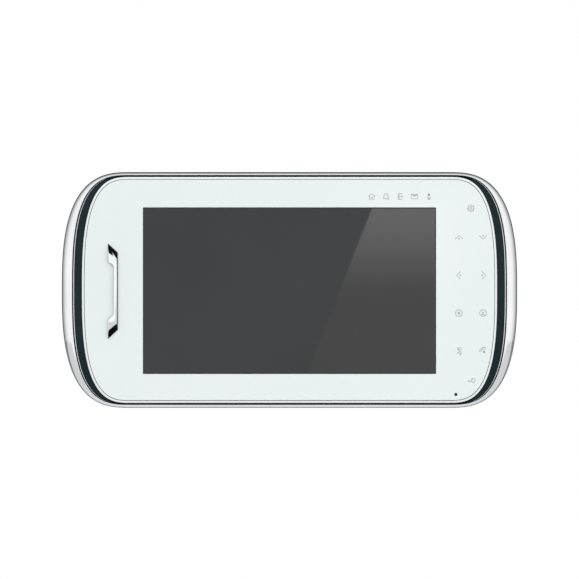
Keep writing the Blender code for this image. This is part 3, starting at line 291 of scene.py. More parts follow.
finishes = {
    # slot: two tones, roughness span, grain (kind, scale, bump distance, strength), extras
    "gloss_white": dict(tones=((0.748, 0.812, 0.803), (0.772, 0.820, 0.817)), toneScale=9,
                        roughness=(0.07, 0.13), roughScale=140, grain=("noise", 60, 0.02, 0.10),
                        coat=0.25),
    "white_moulding": dict(tones=((0.800, 0.832, 0.832), (0.835, 0.858, 0.858)), toneScale=24,
                           roughness=(0.30, 0.42), roughScale=260,
                           grain=("noise", 2600, 0.03, 0.35)),
    "dark_glass": dict(tones=((0.0150, 0.0160, 0.0175), (0.0190, 0.0200, 0.0215)), toneScale=14,
                       roughness=(0.006, 0.014), roughScale=90, grain=("noise", 30, 0.002, 0.02)),
    "lcd_glass": dict(tones=((0.010, 0.010, 0.012), (0.014, 0.014, 0.017)), toneScale=20,
                      roughness=(0.10, 0.16), roughScale=120, grain=("noise", 900, 0.01, 0.1)),
    "gloss_black": dict(tones=((0.0030, 0.0125, 0.0160), (0.0060, 0.0180, 0.0220)), toneScale=30,
                        roughness=(0.07, 0.14), roughScale=200, grain=("noise", 120, 0.02, 0.08),
                        specular=0.17),
    "chrome": dict(tones=((0.86, 0.88, 0.89), (0.93, 0.94, 0.945)), toneScale=35, metallic=1.0,
                   roughness=(0.035, 0.085), roughScale=220, grain=("noise", 500, 0.01, 0.05)),
    "zinc_steel": dict(tones=((0.70, 0.71, 0.72), (0.78, 0.79, 0.80)), toneScale=220,
                       metallic=0.72, roughness=(0.40, 0.50), roughScale=300,
                       grain=("voronoi", 900, 0.01, 0.12)),
    "circuit_board": dict(tones=((0.006, 0.065, 0.028), (0.012, 0.105, 0.045)), toneScale=60,
                          roughness=(0.28, 0.42), roughScale=500,
                          grain=("noise", 1500, 0.02, 0.2), coat=0.2),
    "black_plastic": dict(tones=((0.012, 0.012, 0.013), (0.026, 0.026, 0.027)), toneScale=120,
                          roughness=(0.42, 0.60), roughScale=800,
                          grain=("noise", 3200, 0.03, 0.4)),
    "ivory_plastic": dict(tones=((0.70, 0.655, 0.52), (0.78, 0.735, 0.60)), toneScale=150,
                          roughness=(0.36, 0.50), roughScale=700,
                          grain=("noise", 2800, 0.02, 0.3)),
    "foam": dict(tones=((0.018, 0.018, 0.018), (0.055, 0.055, 0.055)), toneScale=1600,
                 roughness=(0.88, 1.0), roughScale=1500, grain=("voronoi", 2600, 0.15, 0.9)),
    "amber_film": dict(tones=((0.42, 0.19, 0.03), (0.60, 0.30, 0.06)), toneScale=90,
                       roughness=(0.22, 0.36), roughScale=400, grain=("noise", 700, 0.01, 0.2)),
    "paper_cone": dict(tones=((0.020, 0.020, 0.022), (0.050, 0.050, 0.054)), toneScale=900,
                       roughness=(0.74, 0.92), roughScale=1200,
                       grain=("noise", 2200, 0.06, 0.7)),
}

boardTraces = {"pitch": 0.9 * mm, "copper": (0.020, 0.150, 0.062), "cellScale": 95.0,
               "edge": (0.20, 0.26), "rise": 0.03 * mm, "strength": 0.6}
coneRings = {"centre": (-80.0 * mm, 0.0, 0.0), "pitch": 2.4 * mm, "depth": 0.15 * mm,
             "strength": 0.7}
steelBrushing = {"stretch": (0.04, 1.0, 1.0), "scale": 1400.0, "depth": 0.02 * mm,
                 "strength": 0.35}


def grainHeight(tree, place, kind, scale):
    if kind == "voronoi":
        return put(tree, "ShaderNodeTexVoronoi", {"Vector": place, "Scale": scale},
                   feature="F1").outputs["Distance"]
    return put(tree, "ShaderNodeTexNoise",
               {"Vector": place, "Scale": scale, "Detail": 3.0}).outputs["Fac"]


def makeFinish(name, look):
    # colour and roughness drift slowly, and a fine grain bumps the surface
    material = bpy.data.materials.new(name)
    material.use_nodes = True
    tree = material.node_tree
    shader = tree.nodes["Principled BSDF"]
    place = put(tree, "ShaderNodeTexCoord").outputs["Object"]
    drift = put(tree, "ShaderNodeTexNoise",
                {"Vector": place, "Scale": look["toneScale"], "Detail": 4.0})
    colour = ramp(tree, drift.outputs["Fac"], [(0.34, look["tones"][0]), (0.66, look["tones"][1])])
    smears = put(tree, "ShaderNodeTexNoise",
                 {"Vector": place, "Scale": look["roughScale"], "Detail": 5.0, "Roughness": 0.6})
    roughness = put(tree, "ShaderNodeMapRange",
                    {"Value": smears.outputs["Fac"], "From Min": 0.3, "From Max": 0.7,
                     "To Min": look["roughness"][0], "To Max": look["roughness"][1]})
    kind, scale, distance, strength = look["grain"]
    bump = put(tree, "ShaderNodeBump", {"Height": grainHeight(tree, place, kind, scale),
                                        "Distance": distance * mm, "Strength": strength})
    tree.links.new(colour, shader.inputs["Base Color"])
    tree.links.new(roughness.outputs["Result"], shader.inputs["Roughness"])
    tree.links.new(bump.outputs["Normal"], shader.inputs["Normal"])
    shader.inputs["Metallic"].default_value = look.get("metallic", 0.0)
    shader.inputs["Specular IOR Level"].default_value = look.get("specular", 0.5)
    shader.inputs["Coat Weight"].default_value = look.get("coat", 0.0)
    shader.inputs["Coat Roughness"].default_value = 0.03
    return material, tree, shader, place, colour, bump


def addTraces(made, look):
    # copper runs under the green mask: bands that bend at noise cells
    _, tree, shader, place, colour, bump = made
    cells = put(tree, "ShaderNodeTexVoronoi", {"Vector": place, "Scale": look["cellScale"]})
    parts = put(tree, "ShaderNodeSeparateXYZ", {0: place})
    turned = put(tree, "ShaderNodeSeparateXYZ", {0: cells.outputs["Color"]})
    across = calc(tree, "GREATER_THAN", turned.outputs["X"], 0.5)
    along = calc(tree, "SUBTRACT", 1.0, across)
    line = calc(tree, "ADD", calc(tree, "MULTIPLY", parts.outputs["X"], across),
                calc(tree, "MULTIPLY", parts.outputs["Z"], along))
    wave = calc(tree, "PINGPONG", calc(tree, "DIVIDE", line, look["pitch"]), 0.5)
    run = put(tree, "ShaderNodeMapRange", {"Value": wave, "From Min": look["edge"][0],
                                           "From Max": look["edge"][1]})
    mixed = put(tree, "ShaderNodeMix", {0: run.outputs["Result"], 6: colour,
                                        7: (*look["copper"], 1)}, data_type="RGBA")
    raised = put(tree, "ShaderNodeBump", {"Height": run.outputs["Result"],
                                          "Distance": look["rise"],
                                          "Strength": look["strength"],
                                          "Normal": bump.outputs["Normal"]})
    tree.links.new(mixed.outputs[2], shader.inputs["Base Color"])
    tree.links.new(raised.outputs["Normal"], shader.inputs["Normal"])


def addConeRings(made, look):
    # pressed ribs round the speaker's centre
    _, tree, shader, place, _, bump = made
    moved = put(tree, "ShaderNodeVectorMath", {0: place, 1: look["centre"]},
                operation="SUBTRACT").outputs["Vector"]
    flat = put(tree, "ShaderNodeVectorMath", {0: moved, 1: (1, 0, 1)},
               operation="MULTIPLY").outputs["Vector"]
    away = put(tree, "ShaderNodeVectorMath", {0: flat}, operation="LENGTH").outputs["Value"]
    rib = calc(tree, "SINE", calc(tree, "MULTIPLY", away, 2 * math.pi / look["pitch"]))
    pressed = put(tree, "ShaderNodeBump", {"Height": rib, "Distance": look["depth"],
                                           "Strength": look["strength"],
                                           "Normal": bump.outputs["Normal"]})
    tree.links.new(pressed.outputs["Normal"], shader.inputs["Normal"])


def addBrushing(made, look):
    # rolling marks along the sheet on top of the zinc's crystals
    _, tree, shader, place, _, bump = made
    stretched = put(tree, "ShaderNodeMapping", {"Vector": place, "Scale": look["stretch"]})
    marks = put(tree, "ShaderNodeTexNoise", {"Vector": stretched.outputs["Vector"],
                                             "Scale": look["scale"], "Detail": 2.0})
    rolled = put(tree, "ShaderNodeBump", {"Height": marks.outputs["Fac"],
                                          "Distance": look["depth"],
                                          "Strength": look["strength"],
                                          "Normal": bump.outputs["Normal"]})
    tree.links.new(rolled.outputs["Normal"], shader.inputs["Normal"])


finish = {}
for slotName, slotLook in finishes.items():
    made = makeFinish(slotName + "_finish", slotLook)
    finish[slotName] = made[0]
    if slotName == "circuit_board":
        addTraces(made, boardTraces)
    elif slotName == "paper_cone":
        addConeRings(made, coneRings)
    elif slotName == "zinc_steel":
        addBrushing(made, steelBrushing)

# finishes with no slot of their own: printed pictograms, tinned pins, chip resin, solder
inkFinish = makeFinish("printed_ink", dict(
    tones=((0.38, 0.385, 0.39), (0.44, 0.445, 0.45)), toneScale=400, roughness=(0.25, 0.38),
    roughScale=900, grain=("noise", 2500, 0.01, 0.2)))[0]
pinFinish = makeFinish("tinned_pin", dict(
    tones=((0.70, 0.69, 0.66), (0.80, 0.79, 0.77)), toneScale=500, metallic=1.0,
    roughness=(0.18, 0.34), roughScale=1500, grain=("noise", 2000, 0.01, 0.2)))[0]

for name, item in nodes.items():
    slotName = item.material_slots[0].material.name.split(".")[0]
    item.material_slots[0].material = finish[slotName]
print("finishes ready:", len(finish) + 2)


def link(name, mesh):
    item = bpy.data.objects.new(name, mesh)
    bpy.context.scene.collection.objects.link(item)
    return item


def built(name, shape):
    # a linked object made from a bmesh, which is freed
    mesh = bpy.data.meshes.new(name)
    shape.to_mesh(mesh)
    shape.free()
    return link(name, mesh)


def smoothed(item, angle=35):
    item.data.shade_smooth()
    item.data.set_sharp_from_angle(angle=math.radians(angle))
    return item


def newTree(name, inputs):
    # a Geometry Nodes tree with named inputs: (label, kind, value)
    tree = bpy.data.node_groups.new(name, "GeometryNodeTree")
    tree.is_modifier = True
    kinds = {"float": "NodeSocketFloat", "int": "NodeSocketInt",
             "material": "NodeSocketMaterial", "object": "NodeSocketObject"}
    tree.interface.new_socket("Geometry", in_out="INPUT", socket_type="NodeSocketGeometry")
    for label, kind, value in inputs:
        socket = tree.interface.new_socket(label, in_out="INPUT", socket_type=kinds[kind])
        if value is not None:
            socket.default_value = value
    tree.interface.new_socket("Geometry", in_out="OUTPUT", socket_type="NodeSocketGeometry")
    return tree, put(tree, "NodeGroupInput").outputs


def endTree(tree, geometry, material):
    whole = put(tree, "GeometryNodeRealizeInstances", {"Geometry": geometry}).outputs[0]
    painted = put(tree, "GeometryNodeSetMaterial", {"Geometry": whole, "Material": material})
    put(tree, "NodeGroupOutput", {"Geometry": painted.outputs[0]})


def grown(name, base, tree, values):
    # run a tree on a base mesh and keep its result as a plain mesh object
    seed = link(name + "_seed", base)
    modifier = seed.modifiers.new("shape", "NODES")
    modifier.node_group = tree
    for socket in tree.interface.items_tree:
        if socket.item_type == "SOCKET" and socket.in_out == "INPUT" and socket.name in values:
            modifier[socket.identifier] = values[socket.name]
    graph = bpy.context.evaluated_depsgraph_get()
    graph.update()
    mesh = bpy.data.meshes.new_from_object(seed.evaluated_get(graph), depsgraph=graph)
    mesh.name = name
    seed.modifiers.remove(modifier)
    bpy.data.objects.remove(seed)
    return link(name, mesh)


def applied(item):
    # replace an object's mesh by what its modifiers make of it
    graph = bpy.context.evaluated_depsgraph_get()
    graph.update()
    mesh = bpy.data.meshes.new_from_object(item.evaluated_get(graph), depsgraph=graph)
    item.modifiers.clear()
    item.data = mesh
    return item


def done(item, body, slotName, replaced=(), material=None):
    # give a piece its finish (its slot's finish unless one is given) and its body, and hide the CAD
    # nodes it stands for
    if not item.data.polygons:
        raise ValueError(item.name + " has no faces")
    item.data.materials.clear()
    item.data.materials.append(material or finish[slotName])
    for polygon in item.data.polygons:
        polygon.material_index = 0
    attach(item, body)
    if replaced:
        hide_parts(*replaced)


def loft(shape, loops, ring=False):
    # skin closed loops of equal count; capped at both ends, or joined round
    rows = [[shape.verts.new(point) for point in loop] for loop in loops]
    pairs = list(zip(rows, rows[1:])) + ([(rows[-1], rows[0])] if ring else [])
    faces = []
    for low, high in pairs:
        for i in range(len(low)):
            j = (i + 1) % len(low)
            faces.append(shape.faces.new((low[i], low[j], high[j], high[i])))
    if not ring:
        faces += [shape.faces.new(list(reversed(rows[0]))), shape.faces.new(rows[-1])]
    bmesh.ops.recalc_face_normals(shape, faces=faces)


def rectangle(x, z, width, height, depth, corner=0.0, steps=5):
    loop = []
    for turn, (sx, sz) in enumerate(((1, 1), (-1, 1), (-1, -1), (1, -1))):
        cx, cz = x + sx * (width / 2 - corner), z + sz * (height / 2 - corner)
        for step in range(steps + 1 if corner else 1):
            angle = math.pi / 2 * (turn + step / steps)
            loop.append(Vector((cx + corner * math.cos(angle), -depth,
                                cz + corner * math.sin(angle))))
    return loop


def circle(x, z, radius, depth, sides=32):
    return [Vector((x + radius * math.cos(2 * math.pi * i / sides), -depth,
                    z + radius * math.sin(2 * math.pi * i / sides))) for i in range(sides)]


def block(shape, xSpan, depthSpan, zSpan):
    loft(shape, [rectangle(sum(xSpan) / 2, sum(zSpan) / 2, xSpan[1] - xSpan[0],
                           zSpan[1] - zSpan[0], d) for d in depthSpan])


def turned(shape, x, z, profile, sides=32):
    loft(shape, [circle(x, z, r, d, sides) for r, d in profile])


def carved(item, steps):
    # Boolean steps: (operation, function that builds the tool)
    tools = []
    for number, (operation, build) in enumerate(steps):
        shape = bmesh.new()
        build(shape)
        tool = built(f"{item.name}_tool{number}", shape)
        tools.append(tool)
        modifier = item.modifiers.new(f"step{number}", "BOOLEAN")
        modifier.operation = operation
        modifier.solver = "EXACT"
        modifier.object = tool
    applied(item)
    for tool in tools:
        bpy.data.objects.remove(tool)
    return item


def cleaned(item, gap=0.004 * mm):
    shape = bmesh.new()
    shape.from_mesh(item.data)
    bmesh.ops.remove_doubles(shape, verts=shape.verts, dist=gap)
    bmesh.ops.dissolve_degenerate(shape, edges=shape.edges, dist=gap)
    shape.to_mesh(item.data)
    shape.free()
    return item


# the outlines share a straight top and bottom and full round ends
outlines = {
    # half width, half height, fullness of the rounded ends
    "frame": (121.3 * mm, 62.8 * mm, 2.78),
    "band": (114.4 * mm, 61.1 * mm, 3.0),
    "bezel": (110.1 * mm, 59.84 * mm, 2.87),
    "tray": (108.1 * mm, 57.84 * mm, 2.87),
    "panel": (108.84 * mm, 58.56 * mm, 2.87),
    "tub": (109.8 * mm, 59.34 * mm, 2.87),
    "rim": (120.4 * mm, 62.35 * mm, 2.78),
    "groove": (115.573 * mm, 61.0 * mm, 2.963),  # between the bead and the chromed frame
}
outlineLook = {"straightHalf": 84.8 * mm, "stepsPerQuarter": 64}


def outlineTree():
    # each point of a profile is (share from inner to outer outline, -depth, inset)
    tree, given = newTree("outlineLoft", [
        ("Inner Half Width", "float", 0.1), ("Outer Half Width", "float", 0.11),
        ("Inner Half Height", "float", 0.05), ("Outer Half Height", "float", 0.06),
        ("Inner Fullness", "float", 2.8), ("Outer Fullness", "float", 2.8),
        ("Straight Half", "float", 0.08), ("Steps", "int", 64), ("Stations", "int", 4),
        ("Finish", "material", None)])
    perQuarter = calc(tree, "ADD", given["Steps"], 1.0)
    around = calc(tree, "MULTIPLY", perQuarter, 4.0)
    grid = put(tree, "GeometryNodeMeshGrid", {"Size X": 1.0, "Size Y": 1.0, "Vertices X": around,
                                              "Vertices Y": given["Stations"]})
    index = put(tree, "GeometryNodeInputIndex").outputs[0]
    column = calc(tree, "FLOOR", calc(tree, "DIVIDE", index, given["Stations"]))
    row = calc(tree, "FLOORED_MODULO", index, given["Stations"])
    quarter = calc(tree, "FLOOR", calc(tree, "DIVIDE", column, perQuarter))
    share = calc(tree, "DIVIDE", calc(tree, "FLOORED_MODULO", column, perQuarter), given["Steps"])
    odd = calc(tree, "FLOORED_MODULO", quarter, 2.0)
    flipped = calc(tree, "SUBTRACT", 1.0, calc(tree, "MULTIPLY", share, 2.0))
    swing = calc(tree, "MULTIPLY", calc(tree, "MULTIPLY_ADD", odd, flipped, share), math.pi / 2)
    onLeft = calc(tree, "LESS_THAN",
                  calc(tree, "ABSOLUTE", calc(tree, "SUBTRACT", quarter, 1.5)), 1.0)
    signX = calc(tree, "MULTIPLY_ADD", onLeft, -2.0, 1.0)
    signZ = calc(tree, "MULTIPLY_ADD", calc(tree, "GREATER_THAN", quarter, 1.5), -2.0, 1.0)
    station = put(tree, "GeometryNodeSampleIndex",
                  {"Geometry": given["Geometry"],
                   "Value": put(tree, "GeometryNodeInputPosition").outputs[0], "Index": row},
                  data_type="FLOAT_VECTOR", domain="POINT").outputs[0]
    parts = put(tree, "ShaderNodeSeparateXYZ", {0: station})

    def between(label):
        low, high = given["Inner " + label], given["Outer " + label]
        return calc(tree, "MULTIPLY_ADD", calc(tree, "SUBTRACT", high, low),
                    parts.outputs["X"], low)

    halfWidth = calc(tree, "SUBTRACT", between("Half Width"), parts.outputs["Z"])
    halfHeight = calc(tree, "SUBTRACT", between("Half Height"), parts.outputs["Z"])
    power = calc(tree, "DIVIDE", 2.0, between("Fullness"))
    across = calc(tree, "POWER", calc(tree, "MAXIMUM", calc(tree, "COSINE", swing), 0.0), power)
    upward = calc(tree, "POWER", calc(tree, "MAXIMUM", calc(tree, "SINE", swing), 0.0), power)
    reach = calc(tree, "SUBTRACT", halfWidth, given["Straight Half"])
    x = calc(tree, "MULTIPLY", signX,
             calc(tree, "MULTIPLY_ADD", reach, across, given["Straight Half"]))
    z = calc(tree, "MULTIPLY", signZ, calc(tree, "MULTIPLY", halfHeight, upward))
    where = put(tree, "ShaderNodeCombineXYZ", {0: x, 1: parts.outputs["Y"], 2: z}).outputs[0]
    moved = put(tree, "GeometryNodeSetPosition", {"Geometry": grid.outputs["Mesh"],
                                                  "Position": where}).outputs[0]
    welded = put(tree, "GeometryNodeMergeByDistance", {"Geometry": moved, "Distance": 2e-6})
    endTree(tree, welded.outputs[0], given["Finish"])
    return tree


loftTree = outlineTree()


def outlineLoft(name, inner, outer, profile, ring, slotName="white_moulding"):
    # profile: (share, depth, inset) points; a ring closes on itself, else the ends are capped
    points = [(share, -depth, inset) for share, depth, inset in profile]
    if ring:
        points.append(points[0])
    base = bpy.data.meshes.new(name + "_profile")
    base.from_pydata(points, [(i, i + 1) for i in range(len(points) - 1)], [])
    low, high = outlines[inner], outlines[outer]
    item = grown(name, base, loftTree, {
        "Inner Half Width": low[0], "Outer Half Width": high[0],
        "Inner Half Height": low[1], "Outer Half Height": high[1],
        "Inner Fullness": low[2], "Outer Fullness": high[2],
        "Straight Half": outlineLook["straightHalf"], "Steps": outlineLook["stepsPerQuarter"],
        "Stations": len(points), "Finish": finish[slotName]})
    shape = bmesh.new()
    shape.from_mesh(item.data)
    if not ring:
        bmesh.ops.holes_fill(shape, edges=[e for e in shape.edges if e.is_boundary], sides=0)
    bmesh.ops.recalc_face_normals(shape, faces=shape.faces)
    shape.to_mesh(item.data)
    shape.free()
    return item


def addLoft(shape, name, inner, outer, profile, ring):
    # an outline loft as part of a cutting or joining tool
    source = outlineLoft(name, inner, outer, profile, ring)
    shape.from_mesh(source.data)
    bpy.data.objects.remove(source)


def arc(share, inset, depth, radius, start, end, steps=5):
    # part of a small round: 0 degrees points outwards, 90 to the front
    found = []
    for step in range(steps + 1):
        angle = math.radians(start + (end - start) * step / steps)
        found.append((share, depth + radius * math.sin(angle), inset - radius * math.cos(angle)))
    return found


# chromed outer frame, black band and the bright bead between them
frameLook = {"crest": 24.8 * mm, "widest": 17.5 * mm, "back": 14.3 * mm, "lipFront": 15.6 * mm,
             "startShare": 0.17, "edgeRound": 0.25 * mm, "grooveDeep": 22.3 * mm,
             "grooveSlope": 0.2 * mm, "wallShare": -0.2, "lipShare": -0.89, "steps": 30,
             "fullness": 2.45, "crestFrom": 0.04, "curveFrom": 0.06, "sideDrop": 1.0 * mm,
             "rimShare": 0.9, "rimRound": 0.25 * mm}
bandLook = {"back": 17.7 * mm, "innerRise": 25.6 * mm, "outerRise": 24.1 * mm,
            "edgeRound": 0.3 * mm, "outerShare": 0.785, "swell": (0.55, 0.05 * mm),
            # share and rise of the rounded shoulder, counted from the outer edge
            "shoulder": ((-0.03, 0.06 * mm), (-0.008, -0.02 * mm), (0.0, -0.16 * mm)),
            "grooveFloor": 23.3 * mm, "skirt": 22.7 * mm, "skirtSlope": 0.2 * mm,
            "skirtShares": (0.96, 0.74)}
beadLook = {"share": 0.838, "halfShare": 0.046, "depth": 24.2 * mm, "rise": 0.3 * mm,
            "root": 23.1 * mm, "steps": 10}


def chromeFrame(look):
    start, edge = look["startShare"], look["edgeRound"]

    def crestDepth(share):  # from the crest round to the widest place
        whole = start + (1 - start) * share
        fullness = look["fullness"]
        fall = max(1 - whole ** fullness, 0.0) ** (1 / fullness)
        return look["widest"] + (look["crest"] - look["widest"]) * fall

    profile = [(look["lipShare"], look["lipFront"], 0.0),
               (look["wallShare"], look["lipFront"], 0.0),
               (look["wallShare"], look["grooveDeep"] - look["grooveSlope"], 0.0),
               (0.0, look["grooveDeep"], 0.0)]
    profile += arc(0.0, -edge, crestDepth(look["crestFrom"]) - edge, edge, 180, 96, 6)
    firstTurn = math.asin(start + (1 - start) * look["curveFrom"])
    for step in range(look["steps"] + 1):
        turn = firstTurn + (math.pi / 2 - firstTurn) * step / look["steps"]
        share = (math.sin(turn) - start) / (1 - start)
        profile.append((share, crestDepth(share), 0.0))
    rim, back, low = outlines["frame"][0] - outlines["rim"][0], look["back"], look["rimRound"]
    profile += [(1.0, look["widest"] - look["sideDrop"], 0.0),
                (1.0, back + low, rim * look["rimShare"]), (1.0, back, rim + low),
                (look["lipShare"], back, 0.0)]
    item = outlineLoft("chromeFrame", "groove", "frame", profile, True, "chrome")
    done(smoothed(item), "monitor", "chrome", ["chrome_frame"])


def sideBand(look):
    edge, back, outer = look["edgeRound"], look["back"], look["outerShare"]
    profile = [(0.0, back, -fit)]
    profile += arc(0.0, -fit - edge, look["innerRise"] - edge, edge, 180, 95, 5)
    share, rise = look["swell"]
    profile.append((outer * share, (look["innerRise"] + look["outerRise"]) / 2 + rise, 0.0))
    profile += [(outer + share, look["outerRise"] + rise, 0.0)
                for share, rise in look["shoulder"]]
    far, near = look["skirtShares"]
    profile += [(outer, look["grooveFloor"], 0.0), (far, look["grooveFloor"], 0.0),
                (far, look["skirt"], 0.0), (near, look["skirt"] - look["skirtSlope"], 0.0),
                (near, back, 0.0)]
    item = outlineLoft("sideBand", "bezel", "groove", profile, True, "gloss_black")
    done(smoothed(item), "monitor", "gloss_black", ["side_band"])


def innerBead(look):
    # thin bright wire standing in the groove beside the black band
    profile = [(look["share"] - look["halfShare"], look["root"], 0.0)]
    for step in range(look["steps"] + 1):
        turn = math.pi * (1 - step / look["steps"])
        profile.append((look["share"] + look["halfShare"] * math.cos(turn),
                        look["depth"] + look["rise"] * math.sin(turn), 0.0))
    profile.append((look["share"] + look["halfShare"], look["root"], 0.0))
    item = outlineLoft("innerBead", "bezel", "groove", profile, True, "chrome")
    done(smoothed(item, 50), "monitor", "chrome")


innerBead(beadLook)
chromeFrame(frameLook)
sideBand(bandLook)
print("frame and band ready")


# white tray behind the panel: rim, floor, frame clamp and the bosses on its floor
trayLook = {"back": 14.3 * mm, "flange": (15.9 * mm, 17.4 * mm), "flangeShare": 0.93,
            "flangeInset": 0.5 * mm, "rimFoot": (25.7 * mm, 25.9 * mm), "rimFront": 27.5 * mm,
            "rimRound": 0.6 * mm, "rimProud": 0.12 * mm,
            "floor": (24.1 * mm, 25.9 * mm), "seatGap": fit,
            "opening": (155.1 * mm, 86.9 * mm), "openingCorner": 0.8 * mm,
            "windowDrop": 0.4 * mm, "bossRoot": 0.45 * mm,
            # each four: place, then radius, end and sides of the bosses and of their holes
            "bosses": (
                ((88.0 * mm, 48.5 * mm), (3.2 * mm, 14.3 * mm, 32), (1.7 * mm, 13.3 * mm, 20)),
                ((34.0 * mm, 54.0 * mm), (2.5 * mm, 13.9 * mm, 24), (1.3 * mm, 12.6 * mm, 16)),
                ((79.45 * mm, 54.0 * mm), (2.5 * mm, 16.8 * mm, 24), (1.3 * mm, 15.8 * mm, 16))),
            "posts": ((41.0 * mm, 54.0 * mm), (73.0 * mm, 54.0 * mm)),
            "postSize": (0.7 * mm, 22.3 * mm)}
capInset = 0.1 * mm  # a capped face is flat from this far inside its rounded edge

micPlace, micHole = (88.3 * mm, -55.5 * mm), 0.85 * mm
pegPlaces, pegHole = [(-93.3 * mm, 17.35 * mm), (-93.3 * mm, -18.65 * mm)], 1.2 * mm
touchScrewHole = 1.1 * mm
floorHoles = [(*micPlace, micHole)] + [(x, z, pegHole) for x, z in pegPlaces]
for suffix in ("upper", "lower"):
    low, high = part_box("touch_board_screw_" + suffix)
    floorHoles.append(((low.x + high.x) / 2, (low.z + high.z) / 2, touchScrewHole))


def fourCorners(x, z):
    return [(-x, z), (x, z), (-x, -z), (x, -z)]


def frontTray(look):
    front, edge = look["rimFront"], look["rimRound"]
    proud, (footBack, footFront) = look["rimProud"], look["rimFoot"]
    profile = [(0.0, look["back"], 0.0), (0.0, footBack, 0.0), (0.0, footFront, -proud)]
    profile += arc(0.0, edge - proud, front - edge, edge, 0, 90, 6)
    profile.append((0.0, front, edge + capInset))
    item = outlineLoft("frontTray", "bezel", "bezel", profile, False)
    floorBack, floorFront = look["floor"]

    def clamp(shape):
        (back, face), share, inset = look["flange"], look["flangeShare"], look["flangeInset"]
        addLoft(shape, "clampRing", "bezel", "band",
                [(0.0, back, inset), (share, back, 0.0), (share, face, 0.0), (0.0, face, inset)],
                True)

    def hollow(shape):
        addLoft(shape, "hollowTool", "tray", "tray",
                [(0.0, look["back"] - mm, 0.0), (0.0, floorBack, 0.0)], False)
        addLoft(shape, "hollowTool", "panel", "panel",
                [(0.0, floorFront, -look["seatGap"]), (0.0, front + mm, -look["seatGap"])], False)

    def bosses(shape):
        root = floorBack + look["bossRoot"]
        for place, (radius, end, sides), _ in look["bosses"]:
            for x, z in fourCorners(*place):
                turned(shape, x, z, [(radius, root), (radius, end)], sides)
        radius, end = look["postSize"]
        for x, z in look["posts"]:
            turned(shape, x, z, [(radius, root), (radius, end)], 12)

    def holes(shape):
        for place, _, (radius, end, sides) in look["bosses"]:
            for x, z in fourCorners(*place):
                turned(shape, x, z, [(radius, end), (radius, floorBack)], sides)
        width, height = look["opening"]
        loft(shape, [rectangle(0, -look["windowDrop"], width, height, d, look["openingCorner"])
                     for d in (floorBack - mm, floorFront + mm)])
        for x, z, radius in floorHoles:
            turned(shape, x, z, [(radius, floorBack - mm), (radius, floorFront + mm)], 20)

    carved(item, [("UNION", clamp), ("DIFFERENCE", hollow), ("UNION", bosses),
                  ("DIFFERENCE", holes)])
    done(smoothed(cleaned(item)), "monitor", "white_moulding", ["front_bezel"])


# white gloss front panel and the dark window
panelLook = {"back": 26.2 * mm, "face": 28.0 * mm, "edgeRound": 0.25 * mm,
             "window": (155.6 * mm, 88.4 * mm), "windowDrop": 0.4 * mm, "windowCorner": 0.35 * mm,
             "chamfer": 0.15 * mm, "rebateFront": 27.3 * mm, "rebateReach": 2.9 * mm,
             "rebateCorner": 0.5 * mm, "micChamfer": 0.14 * mm}
windowLook = {"face": (155.0 * mm, 87.8 * mm), "corner": 0.3 * mm, "edgeRound": 0.18 * mm,
              "roundSteps": 4, "leastCorner": 0.12 * mm,
              "flatInset": 0.4 * mm, "flatCorner": 0.1 * mm,
              "flange": (160.8 * mm, 93.6 * mm), "flangeCorner": 0.6 * mm,
              "back": 26.2 * mm, "step": 27.0 * mm, "front": 28.0 * mm}


def frontPanel(look):
    face, edge = look["face"], look["edgeRound"]
    profile = [(0.0, look["back"], 0.0)] + arc(0.0, edge, face - edge, edge, 0, 90, 6)
    profile.append((0.0, face, edge + capInset))
    item = outlineLoft("frontPanel", "panel", "panel", profile, False, "gloss_white")

    def openings(shape):
        width, height = look["window"]
        slope = look["chamfer"]
        loft(shape, [rectangle(0, -look["windowDrop"], width + 2 * grow, height + 2 * grow, d,
                               look["windowCorner"] + grow)
                     for grow, d in ((0, look["back"] - mm), (0, face - slope), (slope, face),
                                     (slope, face + mm))])
        slope = look["micChamfer"]
        turned(shape, *micPlace, [(micHole, look["back"] - mm), (micHole, face - slope),
                                  (micHole + slope, face), (micHole + slope, face + mm)], 40)
        for x, z in pegPlaces:
            turned(shape, x, z, [(pegHole, look["back"] - mm), (pegHole, face + mm)], 24)

    def rebate(shape):
        width, height = (side + 2 * look["rebateReach"] for side in look["window"])
        loft(shape, [rectangle(0, -look["windowDrop"], width, height, d, look["rebateCorner"])
                     for d in (look["back"] - mm, look["rebateFront"])])

    carved(item, [("DIFFERENCE", openings), ("DIFFERENCE", rebate)])
    done(smoothed(cleaned(item), 40), "monitor", "gloss_white", ["front_panel"])


def screenWindow(look):
    # stepped sheet: a flange behind the panel and a face flush with it
    edge, steps = look["edgeRound"], look["roundSteps"]
    stations = [(look["flange"], look["flangeCorner"], look["back"]),
                (look["flange"], look["flangeCorner"], look["step"]),
                (look["face"], look["corner"], look["step"])]
    for step in range(steps + 1):
        angle = math.pi / 2 * step / steps
        trim = edge * (1 - math.cos(angle))
        size = tuple(side - 2 * trim for side in look["face"])
        stations.append((size, max(look["corner"] - trim, look["leastCorner"]),
                         look["front"] - edge + edge * math.sin(angle)))
    inner = tuple(side - 2 * edge - look["flatInset"] for side in look["face"])
    stations.append((inner, look["flatCorner"], look["front"]))
    shape = bmesh.new()
    loft(shape, [rectangle(0, -panelLook["windowDrop"], w, h, d, corner)
                 for (w, h), corner, d in stations])
    done(smoothed(built("screenWindow", shape)), "monitor", "dark_glass", ["screen_window"])


